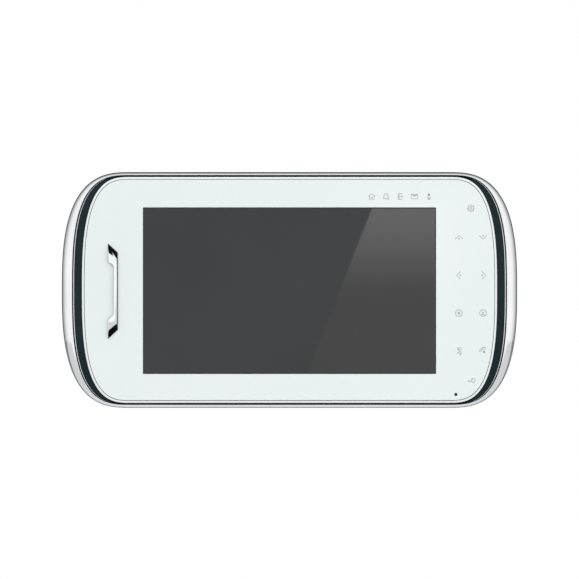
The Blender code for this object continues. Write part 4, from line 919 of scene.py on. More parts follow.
# chromed handset-shaped trim on its two pegs
trimLook = {"right": -91.55 * mm, "middle": -0.65 * mm, "width": 4.65 * mm, "length": 50.1 * mm,
            "bar": 1.75 * mm, "foot": 9.9 * mm, "slant": 4.6 * mm, "curve": 3.0 * mm,
            "back": 28.3 * mm, "front": 29.9 * mm, "backRound": 0.18 * mm,
            "bevel": 0.42 * mm, "bevelBreak": 0.35,
            "footRound": (0.12 * mm, 0.3 * mm), "curveStart": (0.35 * mm, 0.25 * mm),
            "curveSteps": 8, "lowerBend": (0.5 * mm, 0.7 * mm), "lowerFoot": (0.3 * mm, 0.5 * mm),
            "upperFacet": 4.2 * mm, "lowerFacet": 3.9 * mm, "facetDrop": 1.12 * mm,
            "pegRadius": 0.9 * mm, "pegBack": 24.8 * mm, "pegRound": 0.2 * mm,
            # the last five sizes shape the dark sheet under the trim, which paints shade round its
            # edges
            "pegBelow": 0.8 * mm, "shadeLineExtra": 0.3 * mm, "shadeLineEdge": 0.11,
            "shadeLineSunk": 0.1 * mm, "shadeLineRise": 0.12 * mm, "shadeLineRound": 0.04}


def trimOutline(look):
    right, half = look["right"], look["length"] / 2
    left, bar = right - look["width"], right - look["bar"]
    footEnd = half - look["foot"]
    roundX, roundZ = look["footRound"]
    startX, startZ = look["curveStart"]
    upper = [(right, half - look["slant"]), (left, half), (left, footEnd + roundZ),
             (left + roundX, footEnd)]
    for step in range(look["curveSteps"] + 1):  # hollow curve from the foot down to the bar
        turn = math.pi / 2 * step / look["curveSteps"]
        upper.append((left + startX + (bar - left - startX) * math.sin(turn),
                      footEnd - startZ - (look["curve"] - startZ) * (1 - math.cos(turn))))
    bendX, bendZ = look["lowerBend"]
    footX, footZ = look["lowerFoot"]
    lower = [(bar, -footEnd + look["curve"]), (bar - bendX, -footEnd + look["curve"] - bendZ),
             (left + footX, -footEnd + footZ), (left, -footEnd), (left, -half),
             (right, -half + look["slant"])]
    return [(x, look["middle"] + z) for x, z in upper + lower]


def offsetLoops(outline, profile):
    # one loop of points for each inward step in mm and depth of the profile
    loops = []
    for inward, depth in profile:
        count = len(outline)
        loop = []
        for i, (x, z) in enumerate(outline):
            before, after = Vector(outline[i - 1]), Vector(outline[(i + 1) % count])
            here = Vector((x, z))
            first, second = (here - before).normalized(), (after - here).normalized()
            normal = Vector((-first.y, first.x)) + Vector((-second.y, second.x))
            lift = inward * mm / max(normal.length_squared / 2, 0.5) * normal
            loop.append(Vector((here.x + lift.x, -depth, here.y + lift.y)))
        loops.append(loop)
    return loops


def handsetTrim(look):
    right, half = look["right"], look["length"] / 2
    left = right - look["width"]
    outline = trimOutline(look)
    back, front, bevel = look["back"], look["front"], look["bevel"]
    shape = bmesh.new()
    loft(shape, offsetLoops(outline, (
        (look["backRound"] / mm, back), (0.0, back + look["backRound"]), (0.0, front - bevel),
        (bevel / mm * look["bevelBreak"], front - bevel * look["bevelBreak"]),
        (bevel / mm, front))))
    item = built("handsetTrim", shape)

    def facets(tool):
        # slanted ends fall away from the face, parallel to each end's own slope
        proud, past = 2 * mm, 3 * mm  # how far the cutter stands off the face and past the end
        for sign, reach in ((1, look["upperFacet"]), (-1, look["lowerFacet"])):
            outer = look["middle"] + sign * half
            run = Vector((look["width"], -sign * look["slant"]))
            rows = []
            for along in (-0.6, 1.6):
                x, z = left + run.x * along, outer + run.y * along
                rows.append([Vector((x, -front - 0.02 * mm, z - sign * reach)),
                             Vector((x, -front - proud, z - sign * reach)),
                             Vector((x, -front - proud, z + sign * past)),
                             Vector((x, -front + look["facetDrop"] * (1 + past / reach),
                                     z + sign * past))])
            loft(tool, rows)

    def pegs(tool):
        radius, end, low = look["pegRadius"], look["pegBack"], look["pegRound"]
        for x, z in pegPlaces:
            turned(tool, x, z, [(radius - low, end), (radius, end + low),
                                (radius, front - look["pegBelow"])], 24)

    carved(item, [("DIFFERENCE", facets), ("UNION", pegs)])
    done(smoothed(cleaned(item), 25), "monitor", "chrome", ["handset_trim"])


def trimGasket(look):
    # dark sheet under the trim that paints shade: a fine dark line round it, wider on its right
    extra, edge, low = look["shadeLineExtra"], look["shadeLineEdge"], look["shadeLineRound"]
    outline = trimOutline(dict(look, right=look["right"] + extra, width=look["width"] + extra,
                               bar=look["bar"] + extra))
    shape = bmesh.new()
    top = look["back"] + look["shadeLineRise"]
    loft(shape, offsetLoops(outline, ((-edge, look["back"] - look["shadeLineSunk"]),
                                      (-edge, top - low * mm), (low - edge, top))))
    done(smoothed(cleaned(built("trimGasket", shape)), 40), "monitor", "foam")


clothLook = {"gap": 0.01 * mm, "shoulder": 0.1 * mm, "crown": 0.5,
             "depths": (27.0 * mm, 27.86 * mm, 27.94 * mm, 28.0 * mm)}
# depths and insets of the dark ring low in the gap round the panel, which paints shade in the
# groove
panelShadeLook = {"depths": (26.0 * mm, 27.35 * mm), "insets": (-0.05 * mm, -0.25 * mm)}


def microphoneCloth(look):
    # dark acoustic cloth behind the microphone hole
    radius = micHole - look["gap"]
    radii = (radius, radius, radius - look["shoulder"], radius * look["crown"])
    shape = bmesh.new()
    turned(shape, *micPlace, zip(radii, look["depths"]), 40)
    done(smoothed(built("microphoneCloth", shape), 50), "monitor", "black_plastic")


def panelSeal(look):
    # dark ring low in the gap round the panel, painted shade that darkens the groove
    (back, front), (outer, inner) = look["depths"], look["insets"]
    profile = [(0.0, back, outer), (0.0, front, outer), (0.0, front, inner), (0.0, back, inner)]
    item = outlineLoft("panelSeal", "panel", "panel", profile, True, "foam")
    done(smoothed(item), "monitor", "foam")


frontTray(trayLook)
frontPanel(panelLook)
panelSeal(panelShadeLook)
screenWindow(windowLook)
handsetTrim(trimLook)
trimGasket(trimLook)
microphoneCloth(clothLook)
print("tray, panel, window and trim ready")


# printed pictograms, drawn as strokes and dots
pictogramLook = {"stroke": 0.44 * mm, "thickness": 0.05 * mm, "face": 28.0 * mm}


def bow(x, z, radius, start, end, steps=14):
    return [(x + radius * math.cos(math.radians(start + (end - start) * i / steps)),
             z + radius * math.sin(math.radians(start + (end - start) * i / steps)))
            for i in range(steps + 1)]


# each sign: strokes as point rows and dots as (x, z, radius), in mm from its own middle
signs = {
    "house": ([[(-1.7, 0.1), (0, 1.5), (1.7, 0.1)], [(-1.25, 0.3), (-1.25, -1.5), (-0.4, -1.5),
               (-0.4, -0.4), (0.4, -0.4), (0.4, -1.5), (1.25, -1.5), (1.25, 0.3)]], []),
    "bell": ([[(-1.5, -1.0), (-1.1, -0.5)] + bow(0, 0.4, 1.05, 180, 0) + [(1.1, -0.5), (1.5, -1.0),
              (-1.5, -1.0)], [(0.75, -1.45), (1.7, -1.45)]], [(0, -1.45, 0.28)]),
    "door": ([[(0.3, 1.5), (-1.0, 1.5), (-1.0, -1.5), (0.3, -1.5)], [(-0.6, 1.5), (-0.6, -1.5)],
              [(0.95, 0.5), (1.45, 0), (0.95, -0.5)], [(-0.1, 0), (1.35, 0)],
              [(0.3, 1.5), (1.1, 1.5)], [(0.3, -1.5), (1.1, -1.5)]], []),
    "envelope": ([[(-1.7, 1.2), (1.7, 1.2), (1.7, -1.2), (-1.7, -1.2), (-1.7, 1.2), (0, 0.1),
                   (1.7, 1.2)], [(-0.9, 0.75), (0, 0.25), (0.9, 0.75)]], []),
    "microphone": ([[(0, 1.1), (0, 0.2)], bow(0, 0, 1.05, 200, 340), [(0, -1.05), (0, -1.7)],
                    [(-0.7, -1.7), (0.7, -1.7)]], [(0, 1.05, 0.5), (0, 0.45, 0.5)]),
    "gear": ([bow(0, 0, 1.42, 0, 360, 24), bow(0, 0, 0.5, 0, 360, 12)]
             + [[(1.5 * math.cos(a), 1.5 * math.sin(a)), (2.1 * math.cos(a), 2.1 * math.sin(a))]
                for a in (math.pi / 4 * i for i in range(8))], []),
    "up": ([[(-2.0, -0.75), (0, 1.2), (2.0, -0.75)]], [(0, -0.6, 0.45)]),
    "down": ([[(-2.0, 0.75), (0, -1.2), (2.0, 0.75)]], [(0, 0.6, 0.45)]),
    "left": ([[(0.9, 2.0), (-1.1, 0), (0.9, -2.0)]], [(0.85, 0, 0.45)]),
    "right": ([[(-0.9, 2.0), (1.1, 0), (-0.9, -2.0)]], [(-0.85, 0, 0.45)]),
    "record": ([bow(0, 0, 1.75, 0, 360, 30)], [(0, 0, 0.75)]),
    "person": ([bow(0, 0, 1.75, 0, 360, 30), bow(0, -1.9, 1.25, 38, 142, 8)], [(0, 0.15, 0.5)]),
    "exit": ([[(-1.1, 2.0), (1.1, 2.0), (1.1, -1.9)], [(-0.9, 1.0), (0.1, 1.2), (0.5, 0.4)],
              [(0.5, 0.4), (-0.2, -0.2), (0.7, -1.0), (0.9, -1.9)], [(-0.2, -0.2), (-1.1, -1.4)]],
             [(-0.15, 1.3, 0.32)]),
    "ring": ([bow(0.55, -0.45, 2.35, 62, 176, 18), bow(0.55, -0.45, 1.55, 66, 180, 14)],
             [(0.55, -0.45, 0.68)]),
    "key": ([bow(0.9, 0.1, 1.05, -150, 165, 20), [(-2.1, -0.35), (-0.3, -0.35), (0.5, 0.95)],
             [(-1.7, -0.35), (-1.3, 0.15)]], []),
}
signPlaces = {
    "house": (43.65, 49.6), "bell": (51.2, 49.6), "door": (58.7, 49.6), "envelope": (66.3, 49.6),
    "microphone": (74.0, 49.8), "gear": (96.3, 43.3), "up": (89.9, 27.8), "down": (102.7, 28.2),
    "left": (89.8, 7.8), "right": (103.1, 7.8), "record": (89.9, -12.3),
    "person": (102.7, -12.3), "exit": (89.9, -32.7), "ring": (102.7, -32.4), "key": (96.6, -48.1),
}


def pictogramTree():
    # strokes become round wires and loose points become discs, all pressed flat
    tree, given = newTree("pictograms", [
        ("Stroke Width", "float", 0.0004), ("Thickness", "float", 0.00005),
        ("Face Depth", "float", 0.028), ("Finish", "material", None)])
    neighbours = put(tree, "GeometryNodeInputMeshVertexNeighbors").outputs["Vertex Count"]
    loose = calc(tree, "LESS_THAN", neighbours, 0.5)
    split = put(tree, "GeometryNodeSeparateGeometry", {"Geometry": given["Geometry"],
                                                       "Selection": loose}, domain="POINT")
    lines = put(tree, "GeometryNodeMeshToCurve", {"Mesh": split.outputs["Inverted"]})
    section = put(tree, "GeometryNodeCurvePrimitiveCircle", {
        "Resolution": 8, "Radius": calc(tree, "MULTIPLY", given["Stroke Width"], 0.5)})
    wires = put(tree, "GeometryNodeCurveToMesh", {"Curve": lines.outputs[0],
                                                  "Profile Curve": section.outputs["Curve"],
                                                  "Fill Caps": True})
    size = put(tree, "GeometryNodeInputNamedAttribute", {"Name": "dotRadius"},
               data_type="FLOAT").outputs[0]
    disc = put(tree, "GeometryNodeMeshUVSphere", {"Segments": 20, "Rings": 8, "Radius": 1.0})
    scale = put(tree, "ShaderNodeCombineXYZ", {0: size, 1: size, 2: size}).outputs[0]
    dots = put(tree, "GeometryNodeInstanceOnPoints", {
        "Points": split.outputs["Selection"], "Instance": disc.outputs["Mesh"], "Scale": scale})
    solid = put(tree, "GeometryNodeRealizeInstances", {"Geometry": dots.outputs[0]})
    both = tree.nodes.new("GeometryNodeJoinGeometry")
    tree.links.new(wires.outputs[0], both.inputs[0])
    tree.links.new(solid.outputs[0], both.inputs[0])
    place = put(tree, "ShaderNodeSeparateXYZ",
                {0: put(tree, "GeometryNodeInputPosition").outputs[0]})
    limit = calc(tree, "MULTIPLY", given["Thickness"], 0.5)
    pressed = calc(tree, "MAXIMUM", calc(tree, "MINIMUM", place.outputs["Y"], limit),
                   calc(tree, "MULTIPLY", limit, -1.0))
    depth = calc(tree, "SUBTRACT", pressed, given["Face Depth"])
    where = put(tree, "ShaderNodeCombineXYZ", {0: place.outputs["X"], 1: depth,
                                               2: place.outputs["Z"]})
    flat = put(tree, "GeometryNodeSetPosition", {"Geometry": both.outputs[0],
                                                 "Position": where.outputs[0]})
    endTree(tree, flat.outputs[0], given["Finish"])
    return tree


def pictograms(look):
    points, lines, radii = [], [], []
    for name, (x, z) in signPlaces.items():
        strokes, dots = signs[name]
        for row in strokes:
            first = len(points)
            points += [((x + a) * mm, 0, (z + b) * mm) for a, b in row]
            radii += [0.0] * len(row)
            lines += [(first + i, first + i + 1) for i in range(len(row) - 1)]
        for a, b, radius in dots:
            points.append(((x + a) * mm, 0, (z + b) * mm))
            radii.append(radius * mm)
    base = bpy.data.meshes.new("signStrokes")
    base.from_pydata(points, lines, [])
    base.attributes.new("dotRadius", "FLOAT", "POINT").data.foreach_set("value", radii)
    item = grown("pictograms", base, pictogramTree(), {
        "Stroke Width": look["stroke"], "Thickness": look["thickness"],
        "Face Depth": look["face"], "Finish": inkFinish})
    done(smoothed(item), "monitor", "gloss_white", material=inkFinish)


pictograms(pictogramLook)
print("pictograms ready")


# rear housing: shell, bracket recess, grille, vents, screw seats and switch slot
housingLook = {"wall": 2.2 * mm, "back": 0.5 * mm, "backInset": 5.2 * mm, "backFlat": 0.3 * mm,
               "roundEnd": 6.0 * mm, "sideEnd": 9.5 * mm, "hollowEnd": 15.0 * mm,
               # share, depth and inset where the side flares out to the rim
               "flare": ((0.05, 10.4 * mm, 0.0), (0.22, 11.6 * mm, 0.0), (0.6, 11.9 * mm, 0.0),
                         (0.87, 12.0 * mm, 0.0), (1.0, 12.25 * mm, 0.12 * mm),
                         (1.0, 13.0 * mm, 0.0), (1.0, 13.85 * mm, 0.0),
                         (1.0, 14.0 * mm, 0.15 * mm)),
               # half width, top, bottom, then the depths of its face and of its inner side
               "recess": (52.0 * mm, 46.0 * mm, -50.0 * mm, 3.2 * mm, 5.2 * mm),
               "recessWall": 2.0 * mm, "recessCorner": 2.0 * mm, "recessEdge": 0.4 * mm,
               "terminal": (63.0 * mm, 13.0 * mm, -19.0 * mm), "terminalCorner": 0.6 * mm,
               "hookX": 40.0 * mm, "hookRows": (30.0 * mm, -12.0 * mm),
               "hookSlot": (10.2 * mm, 8.1 * mm), "hookCorner": 0.5 * mm, "windowEdge": 0.3 * mm,
               "screwPlaces": (88.0 * mm, 48.5 * mm), "screwSeat": (3.3 * mm, 5.2 * mm, 1.7 * mm),
               "screwBoss": ((4.8 * mm, 13.7 * mm), (4.5 * mm, 14.0 * mm)),
               "grille": (-80.0 * mm, 14.5 * mm, 4.0 * mm, 1.8 * mm), "grilleHalfCount": 3,
               "vents": (82.0 * mm, 22.0 * mm, 4.4 * mm, 1.8 * mm, 7), "slotEdge": 0.25 * mm,
               # each pair above and below: x, z, radius and end of the boss and of its hole
               "pairs": ((-80.0 * mm, 20.7 * mm, (2.4 * mm, 4.7 * mm), (1.2 * mm, 6.0 * mm)),
                         (82.0 * mm, 21.0 * mm, (2.5 * mm, 8.7 * mm), (1.3 * mm, 10.0 * mm))),
               # stiffening ribs from the recess out to the side walls: x and half length
               "ribs": ((-62.0 * mm, 40.0 * mm), (-100.0 * mm, 30.0 * mm),
                        (62.0 * mm, 40.0 * mm), (100.0 * mm, 30.0 * mm)),
               "ribSize": (1.2 * mm, 1.1 * mm),
               "switch": ((8.2 * mm, 14.3 * mm), (6.6 * mm, 9.4 * mm), (-61.0 * mm, -56.0 * mm))}


def slotTool(shape, x, z, width, height, chamfer, surface, through):
    # a round-ended slot whose edge is broken at the surface, cut from the wall side
    corner = min(width, height) / 2 - 0.02 * mm
    loft(shape, [rectangle(x, z, width + 2 * grow, height + 2 * grow, d, corner + grow, 6)
                 for grow, d in ((chamfer, surface - mm), (chamfer, surface),
                                 (0.0, surface + chamfer), (0.0, through))])


def rearHousing(look):
    back, wall = look["back"], look["wall"]

    def tub(inset, start, depthEnd, steps):
        found = []
        for step in range(steps + 1):
            turn = math.pi / 2 * step / steps
            found.append((0.0, look["roundEnd"] - (look["roundEnd"] - start) * math.cos(turn),
                          inset + look["backInset"] * (1 - math.sin(turn))))
        return found + [(0.0, depthEnd, inset)]

    profile = [(0.0, back, look["backInset"] + look["backFlat"])]
    profile += tub(0.0, back, look["sideEnd"], 10) + list(look["flare"])
    item = outlineLoft("rearHousing", "tub", "rim", profile, False)
    halfX, top, bottom, inner, floor = look["recess"]
    inside = back + wall
    centre, radius, pitch, width = look["grille"]
    ventX, ventLength, ventPitch, ventWidth, ventCount = look["vents"]

    def cavity(shape):
        addLoft(shape, "cavityTool", "tub", "tub", tub(wall, inside, look["hollowEnd"], 8), False)

    def additions(shape):
        around = look["recessWall"]
        block(shape, (-halfX - around, halfX + around), (inside - mm, floor),
              (bottom - around, top + around))
        low, high = look["screwBoss"]
        for x, z in fourCorners(*look["screwPlaces"]):
            turned(shape, x, z, [(low[0], inside - mm), low, high], 36)
        for x, z, (bossRadius, end), _ in look["pairs"]:
            for side in (-z, z):
                turned(shape, x, side, [(bossRadius, inside - mm), (bossRadius, end)], 24)
        thick, rise = look["ribSize"]
        for x, reach in look["ribs"]:
            block(shape, (x, x + thick), (inside - mm, inside + rise), (-reach, reach))

    def recessAndHoles(shape):
        edge = look["recessEdge"]
        loft(shape, [rectangle(0, (top + bottom) / 2, 2 * (halfX + g), top - bottom + 2 * g, d,
                               look["recessCorner"] + g, 8)
                     for g, d in ((edge, back - mm), (edge, back), (0.0, back + edge),
                                  (0.0, inner))])
        seat, seatDepth, shank = look["screwSeat"]
        for x, z in fourCorners(*look["screwPlaces"]):
            turned(shape, x, z, [(seat + edge, back - mm), (seat + edge, back),
                                 (seat, back + edge), (seat, seatDepth),
                                 (shank, seatDepth), (shank, look["hollowEnd"])], 40)
        for number in range(-look["grilleHalfCount"], look["grilleHalfCount"] + 1):
            half = math.sqrt(radius ** 2 - (number * pitch) ** 2)
            slotTool(shape, centre + number * pitch, 0, width, 2 * half, look["slotEdge"], back,
                     inside + mm)
        for number in range(ventCount):
            slotTool(shape, ventX, (number - (ventCount - 1) / 2) * ventPitch, ventLength,
                     ventWidth, look["slotEdge"], back, inside + mm)
        for x, z, _, (holeRadius, end) in look["pairs"]:
            for side in (z, -z):
                turned(shape, x, side, [(holeRadius, inside), (holeRadius, end)], 20)
        block(shape, *look["switch"])

    def windows(shape):
        width, height, z = look["terminal"]
        edge = look["windowEdge"]
        slotWidth, slotHeight = look["hookSlot"]
        for cx, cz, w, h, corner in [(0, z, width, height, look["terminalCorner"])] + [
                (sx * look["hookX"], row + fit - slotHeight / 2, slotWidth, slotHeight,
                 look["hookCorner"]) for row in look["hookRows"] for sx in (-1, 1)]:
            loft(shape, [rectangle(cx, cz, w + 2 * g, h + 2 * g, d, corner + g, 4)
                         for g, d in ((edge, inner - mm), (edge, inner), (0.0, inner + edge),
                                      (0.0, floor + mm))])

    carved(item, [("DIFFERENCE", cavity), ("UNION", additions),
                  ("DIFFERENCE", recessAndHoles), ("DIFFERENCE", windows)])
    done(smoothed(cleaned(item), 32), "monitor", "white_moulding", ["rear_housing"])


rearHousing(housingLook)


def scatterTree():
    # a shape on every point of the base mesh, turned by the point's own attribute
    tree, given = newTree("placeCopies", [("Shape", "object", None), ("Turn Seed", "int", 7),
                                          ("Turn Range", "float", 0.0),
                                          ("Finish", "material", None)])
    source = put(tree, "GeometryNodeObjectInfo", {"Object": given["Shape"]},
                 transform_space="ORIGINAL").outputs["Geometry"]
    limit = given["Turn Range"]
    turn = put(tree, "FunctionNodeRandomValue", {"Seed": given["Turn Seed"]}, data_type="FLOAT")
    tree.links.new(calc(tree, "MULTIPLY", limit, -1.0), turn.inputs[2])
    tree.links.new(limit, turn.inputs[3])
    spin = put(tree, "ShaderNodeCombineXYZ", {1: turn.outputs[1]})
    placed = put(tree, "GeometryNodeInstanceOnPoints",
                 {"Points": given["Geometry"], "Instance": source, "Rotation": spin.outputs[0]})
    endTree(tree, placed.outputs[0], given["Finish"])
    return tree


placeTree = scatterTree()


def repeated(name, template, places, material, seed=7, spread=0.0):
    # copies of the template object, which goes itself, with their middles at the places
    base = bpy.data.meshes.new(name + "_places")
    base.from_pydata([tuple(p) for p in places], [], [])
    item = grown(name, base, placeTree, {"Shape": template, "Turn Seed": seed,
                                         "Turn Range": spread, "Finish": material})
    bpy.data.objects.remove(template)
    return item


screwForm = {
    "sides": 24,
    # shares of the head's radius and height, from its top down to the seat
    "head": ((0.55, 1.0), (0.82, 0.90), (0.96, 0.62), (1.0, 0.30), (0.99, 0.0)),
    "neck": 0.25 * mm, "threadStart": 0.3 * mm, "threadShort": 0.9 * mm,
    "pitchShare": 0.55, "leastPitch": 0.45 * mm,
    # place within one pitch and share of the shank's radius
    "groove": ((0.15, 1.0), (0.5, 0.80), (0.85, 1.0)),
    "point": ((0.8, 0.35 * mm), (0.45, 0.0)),
    # a wing of the cross recess: shares of the head's radius, then how it narrows in its depth
    "wing": (1.1, 0.24), "wingFoot": (0.35, 0.5),
}


def screwShape(form, shank, head, height, length, recess, towardsWall):
    # pan head with a cross recess; the thread is a run of shallow grooves
    way = -1 if towardsWall else 1    # the shank runs to the wall, or else to the front
    rings = [(head * wide, -height * tall) for wide, tall in form["head"]]
    rings += [(shank, 0.0), (shank, form["neck"])]
    pitch = max(shank * form["pitchShare"], form["leastPitch"])
    for number in range(int((length - form["threadShort"]) / pitch)):
        start = form["threadStart"] + number * pitch
        rings += [(shank * share, start + pitch * place) for place, share in form["groove"]]
    rings += [(shank * share, length - short) for share, short in form["point"]]
    shape = bmesh.new()
    loft(shape, [circle(0, 0, r, way * d, form["sides"]) for r, d in rings])
    one = built("screwTemplate", shape)
    long, narrow = (share * head for share in form["wing"])
    footWide, footTall = form["wingFoot"]

    def wing(tool, wide, tall):
        loft(tool, [rectangle(0, 0, wide * across, tall * along, way * d)
                    for across, along, d in ((1.0, 1.0, -height - mm),
                                             (1.0, 1.0, -height - 0.1 * mm),
                                             (footWide, footTall, -height + recess))])

    carved(one, [("DIFFERENCE", lambda tool: wing(tool, long, narrow)),
                 ("DIFFERENCE", lambda tool: wing(tool, narrow, long))])
    return smoothed(one, 28)


def screwSet(name, prefix, sizes, towardsWall, angle):
    # places come from the CAD screws; every head is left at its own angle
    shank, head, height, length, recess = (value * mm for value in sizes)
    members = sorted(n for n in nodes if n.startswith(prefix))
    places = []
    for member in members:
        low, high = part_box(member)
        seat = high.y - height if not towardsWall else low.y + height
        places.append(((low.x + high.x) / 2, seat, (low.z + high.z) / 2))
    one = screwShape(screwForm, shank, head, height, length, recess, towardsWall)
    item = repeated(name, one, places, finish["zinc_steel"], len(prefix) * 3 + len(places), angle)
    done(item, "monitor", "zinc_steel", members)


screwSets = {
    # name: CAD prefix, (shank, head, height, length, recess) in mm, driven from the front
    "housingScrews": ("housing_screw_", (1.4, 2.8, 2.0, 15.0, 1.1), False),
    "boardScrews": ("main_board_screw_", (1.0, 2.2, 1.6, 6.0, 0.9), False),
    "stripScrews": ("lcd_strip_screw_", (1.0, 2.2, 1.6, 5.0, 0.9), False),
    "touchScrews": ("touch_board_screw_", (0.8, 1.7, 1.1, 3.4, 0.7), False),
    "powerScrews": ("power_board_screw_", (1.0, 2.2, 1.6, 5.0, 0.9), True),
    "speakerScrews": ("speaker_screw_", (0.9, 3.6, 1.0, 2.3, 0.5), True),
}
headTurn = 0.9  # the most that a head is turned either way, in radians
for setName, (prefix, sizes, towardsWall) in screwSets.items():
    screwSet(setName, prefix, sizes, towardsWall, headTurn)
print("housing and screws ready")


def refined(pieceName, nodeName, body, slotName, width=0.15, segments=2, cuts=None):
    # a copy of the CAD mesh, merged into faces, its sharp edges rounded by width in mm
    shape = bmesh.new()
    shape.from_mesh(nodes[nodeName].data)
    bmesh.ops.remove_doubles(shape, verts=shape.verts, dist=1e-6)
    bmesh.ops.dissolve_limit(shape, angle_limit=math.radians(0.6), verts=shape.verts,
                             edges=shape.edges)
    item = built(pieceName, shape)
    if cuts:
        carved(item, cuts)
        cleaned(item)
    item.data.shade_smooth()
    bevel = item.modifiers.new("edges", "BEVEL")
    bevel.width = width * mm
    bevel.segments = segments
    bevel.limit_method = "ANGLE"
    bevel.angle_limit = math.radians(40)
    bevel.use_clamp_overlap = True
    normals = item.modifiers.new("flats", "WEIGHTED_NORMAL")
    normals.weight = 100
    applied(item)
    done(item, body, slotName, [nodeName])


refinedPieces = {
    # piece: CAD node, body, slot, edge round in mm
    "wallBracket": ("wall_bracket", "bracket", "zinc_steel", 0.18),
    "switchBody": ("power_switch_body", "monitor", "black_plastic", 0.2),
    "displayFrame": ("lcd_frame", "monitor", "zinc_steel", 0.12),
    "displayStripLeft": ("lcd_strip_left", "monitor", "zinc_steel", 0.12),
    "displayStripRight": ("lcd_strip_right", "monitor", "zinc_steel", 0.12),
    "microphoneCan": ("microphone", "monitor", "zinc_steel", 0.12),
    "speakerGasket": ("speaker_gasket", "monitor", "foam", 0.15),
    "speakerMagnet": ("speaker_magnet", "monitor", "zinc_steel", 0.3),
    "supplyInductor": ("power_inductor", "monitor", "black_plastic", 0.5),
    "supplyCapacitor": ("filter_capacitor", "monitor", "black_plastic", 0.2),
    "mainChip": ("processor", "monitor", "black_plastic", 0.15),
}
for pieceName, (nodeName, body, slotName, width) in refinedPieces.items():
    refined(pieceName, nodeName, body, slotName, width)


gripLook = {"endInset": 0.75 * mm, "halfWidth": 0.14 * mm, "depth": 0.35 * mm}


def sliderGrip(shape):
    # finger grooves across the slider's end
    low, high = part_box("power_switch_slider")
    inset, half = gripLook["endInset"], gripLook["halfWidth"]
    for x in (low.x + inset, (low.x + high.x) / 2, high.x - inset):
        block(shape, (x - half, x + half), (-high.y - mm, -low.y + mm),
              (low.z - mm, low.z + gripLook["depth"]))


refined("switchSlider", "power_switch_slider", "switch_slider", "black_plastic", 0.12,
        cuts=[("DIFFERENCE", sliderGrip)])


speakerLook = {"x": -80.0 * mm, "sides": 72,
               # radius and depth in mm: dust cap, cone, rolled surround, then the back
               "cone": ((0.15, 6.3), (1.6, 6.38), (3.0, 6.7), (4.2, 7.3), (4.8, 7.9), (5.1, 7.95),
                        (12.4, 5.15), (12.8, 5.05), (13.1, 4.7), (13.6, 4.42), (14.1, 4.35),
                        (14.6, 4.45), (15.0, 4.75), (15.3, 4.9), (15.3, 5.1), (12.9, 5.35),
                        (5.2, 8.3), (4.4, 9.6), (0.15, 10.0)),
               "basket": ((15.6, 4.1), (17.8, 4.1), (18.0, 4.25), (18.0, 5.0), (16.4, 5.2),
                          (10.6, 10.8), (10.4, 11.1), (10.4, 12.0), (10.2, 12.2), (3.0, 12.2),
                          (3.0, 11.4), (9.4, 11.4), (15.4, 5.3), (15.6, 5.0)),
               # windows between the arms: count, place and radius, from and to
               "windows": (6, 13.2 * mm, 2.3 * mm, 5.6 * mm, 12.0 * mm)}


def speakerParts(look):
    shape = bmesh.new()
    turned(shape, look["x"], 0, [(r * mm, d * mm) for r, d in look["cone"]], look["sides"])
    done(smoothed(built("speakerCone", shape), 50), "monitor", "paper_cone", ["speaker_cone"])
    shape = bmesh.new()
    loft(shape, [circle(look["x"], 0, r * mm, d * mm, look["sides"]) for r, d in look["basket"]],
         ring=True)
    basket = built("speakerBasket", shape)

    def windows(tool):
        count, place, radius, back, front = look["windows"]
        for number in range(count):
            angle = 2 * math.pi * (number + 0.5) / count
            turned(tool, look["x"] + place * math.cos(angle), place * math.sin(angle),
                   [(radius, back), (radius, front)], 20)

    carved(basket, [("DIFFERENCE", windows)])
    done(smoothed(cleaned(basket), 40), "monitor", "zinc_steel", ["speaker_basket"])


speakerParts(speakerLook)


# wall-side connectors with their pins, in mm
headerLook = {"size": (12.4, 5.8), "wall": 0.9, "front": 11.7, "mouth": 5.5, "floor": 9.7,
              "edge": 0.25, "corner": 0.3, "roomCorner": 0.2, "key": 1.6, "keyPlace": 0.26,
              "keyShort": 0.6, "keyDeep": 0.3, "pinCount": 4, "pinPitch": 2.5, "pinHalf": 0.32,
              "pinTip": 6.3, "pinTaper": 0.5, "pinRoot": 1.6}


def headers(look):
    width, height = look["size"]
    members = sorted(n for n in nodes if n.startswith("header_"))
    middles = []
    for member in members:
        low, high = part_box(member)
        middles.append(((low.x + high.x) / 2, 0, (low.z + high.z) / 2))
    shape = bmesh.new()
    wall, mouth, edge, corner = look["wall"], look["mouth"], look["edge"], look["corner"]
    roomW, roomH = width - 2 * wall, height - 2 * wall
    loft(shape, [rectangle(0, 0, w * mm, h * mm, d * mm, c * mm, 3) for w, h, d, c in (
        (width, height, look["front"], corner), (width, height, mouth + edge, corner),
        (width - edge, height - edge, mouth, edge), (roomW + edge, roomH + edge, mouth, edge),
        (roomW, roomH, mouth + edge, look["roomCorner"]),
        (roomW, roomH, look["floor"], look["roomCorner"]))])
    one = built("headerOne", shape)

    def keyways(tool):  # two slots that key the plug
        for x in (-width * look["keyPlace"], width * look["keyPlace"]):
            block(tool, ((x - look["key"] / 2) * mm, (x + look["key"] / 2) * mm),
                  ((mouth - 1) * mm, (look["floor"] - look["keyShort"]) * mm),
                  ((-height / 2 - 1) * mm, (-height / 2 + wall + look["keyDeep"]) * mm))

    carved(one, [("DIFFERENCE", keyways)])
    item = repeated("headers", cleaned(one), middles, finish["ivory_plastic"])
    done(smoothed(item, 30), "monitor", "ivory_plastic", members)
    shape = bmesh.new()
    half, tip = look["pinHalf"], look["pinTip"]
    loft(shape, [rectangle(0, 0, 2 * w * mm, 2 * w * mm, d * mm) for w, d in (
        (half, look["floor"] + look["pinRoot"]), (half, tip + look["pinTaper"]),
        (half * 0.5, tip))])
    places = [(x + (number - (look["pinCount"] - 1) / 2) * look["pinPitch"] * mm, 0, z)
              for x, _, z in middles for number in range(look["pinCount"])]
    pins = repeated("headerPins", built("pinOne", shape), places, pinFinish)
    done(pins, "monitor", "zinc_steel", material=pinFinish)


headers(headerLook)

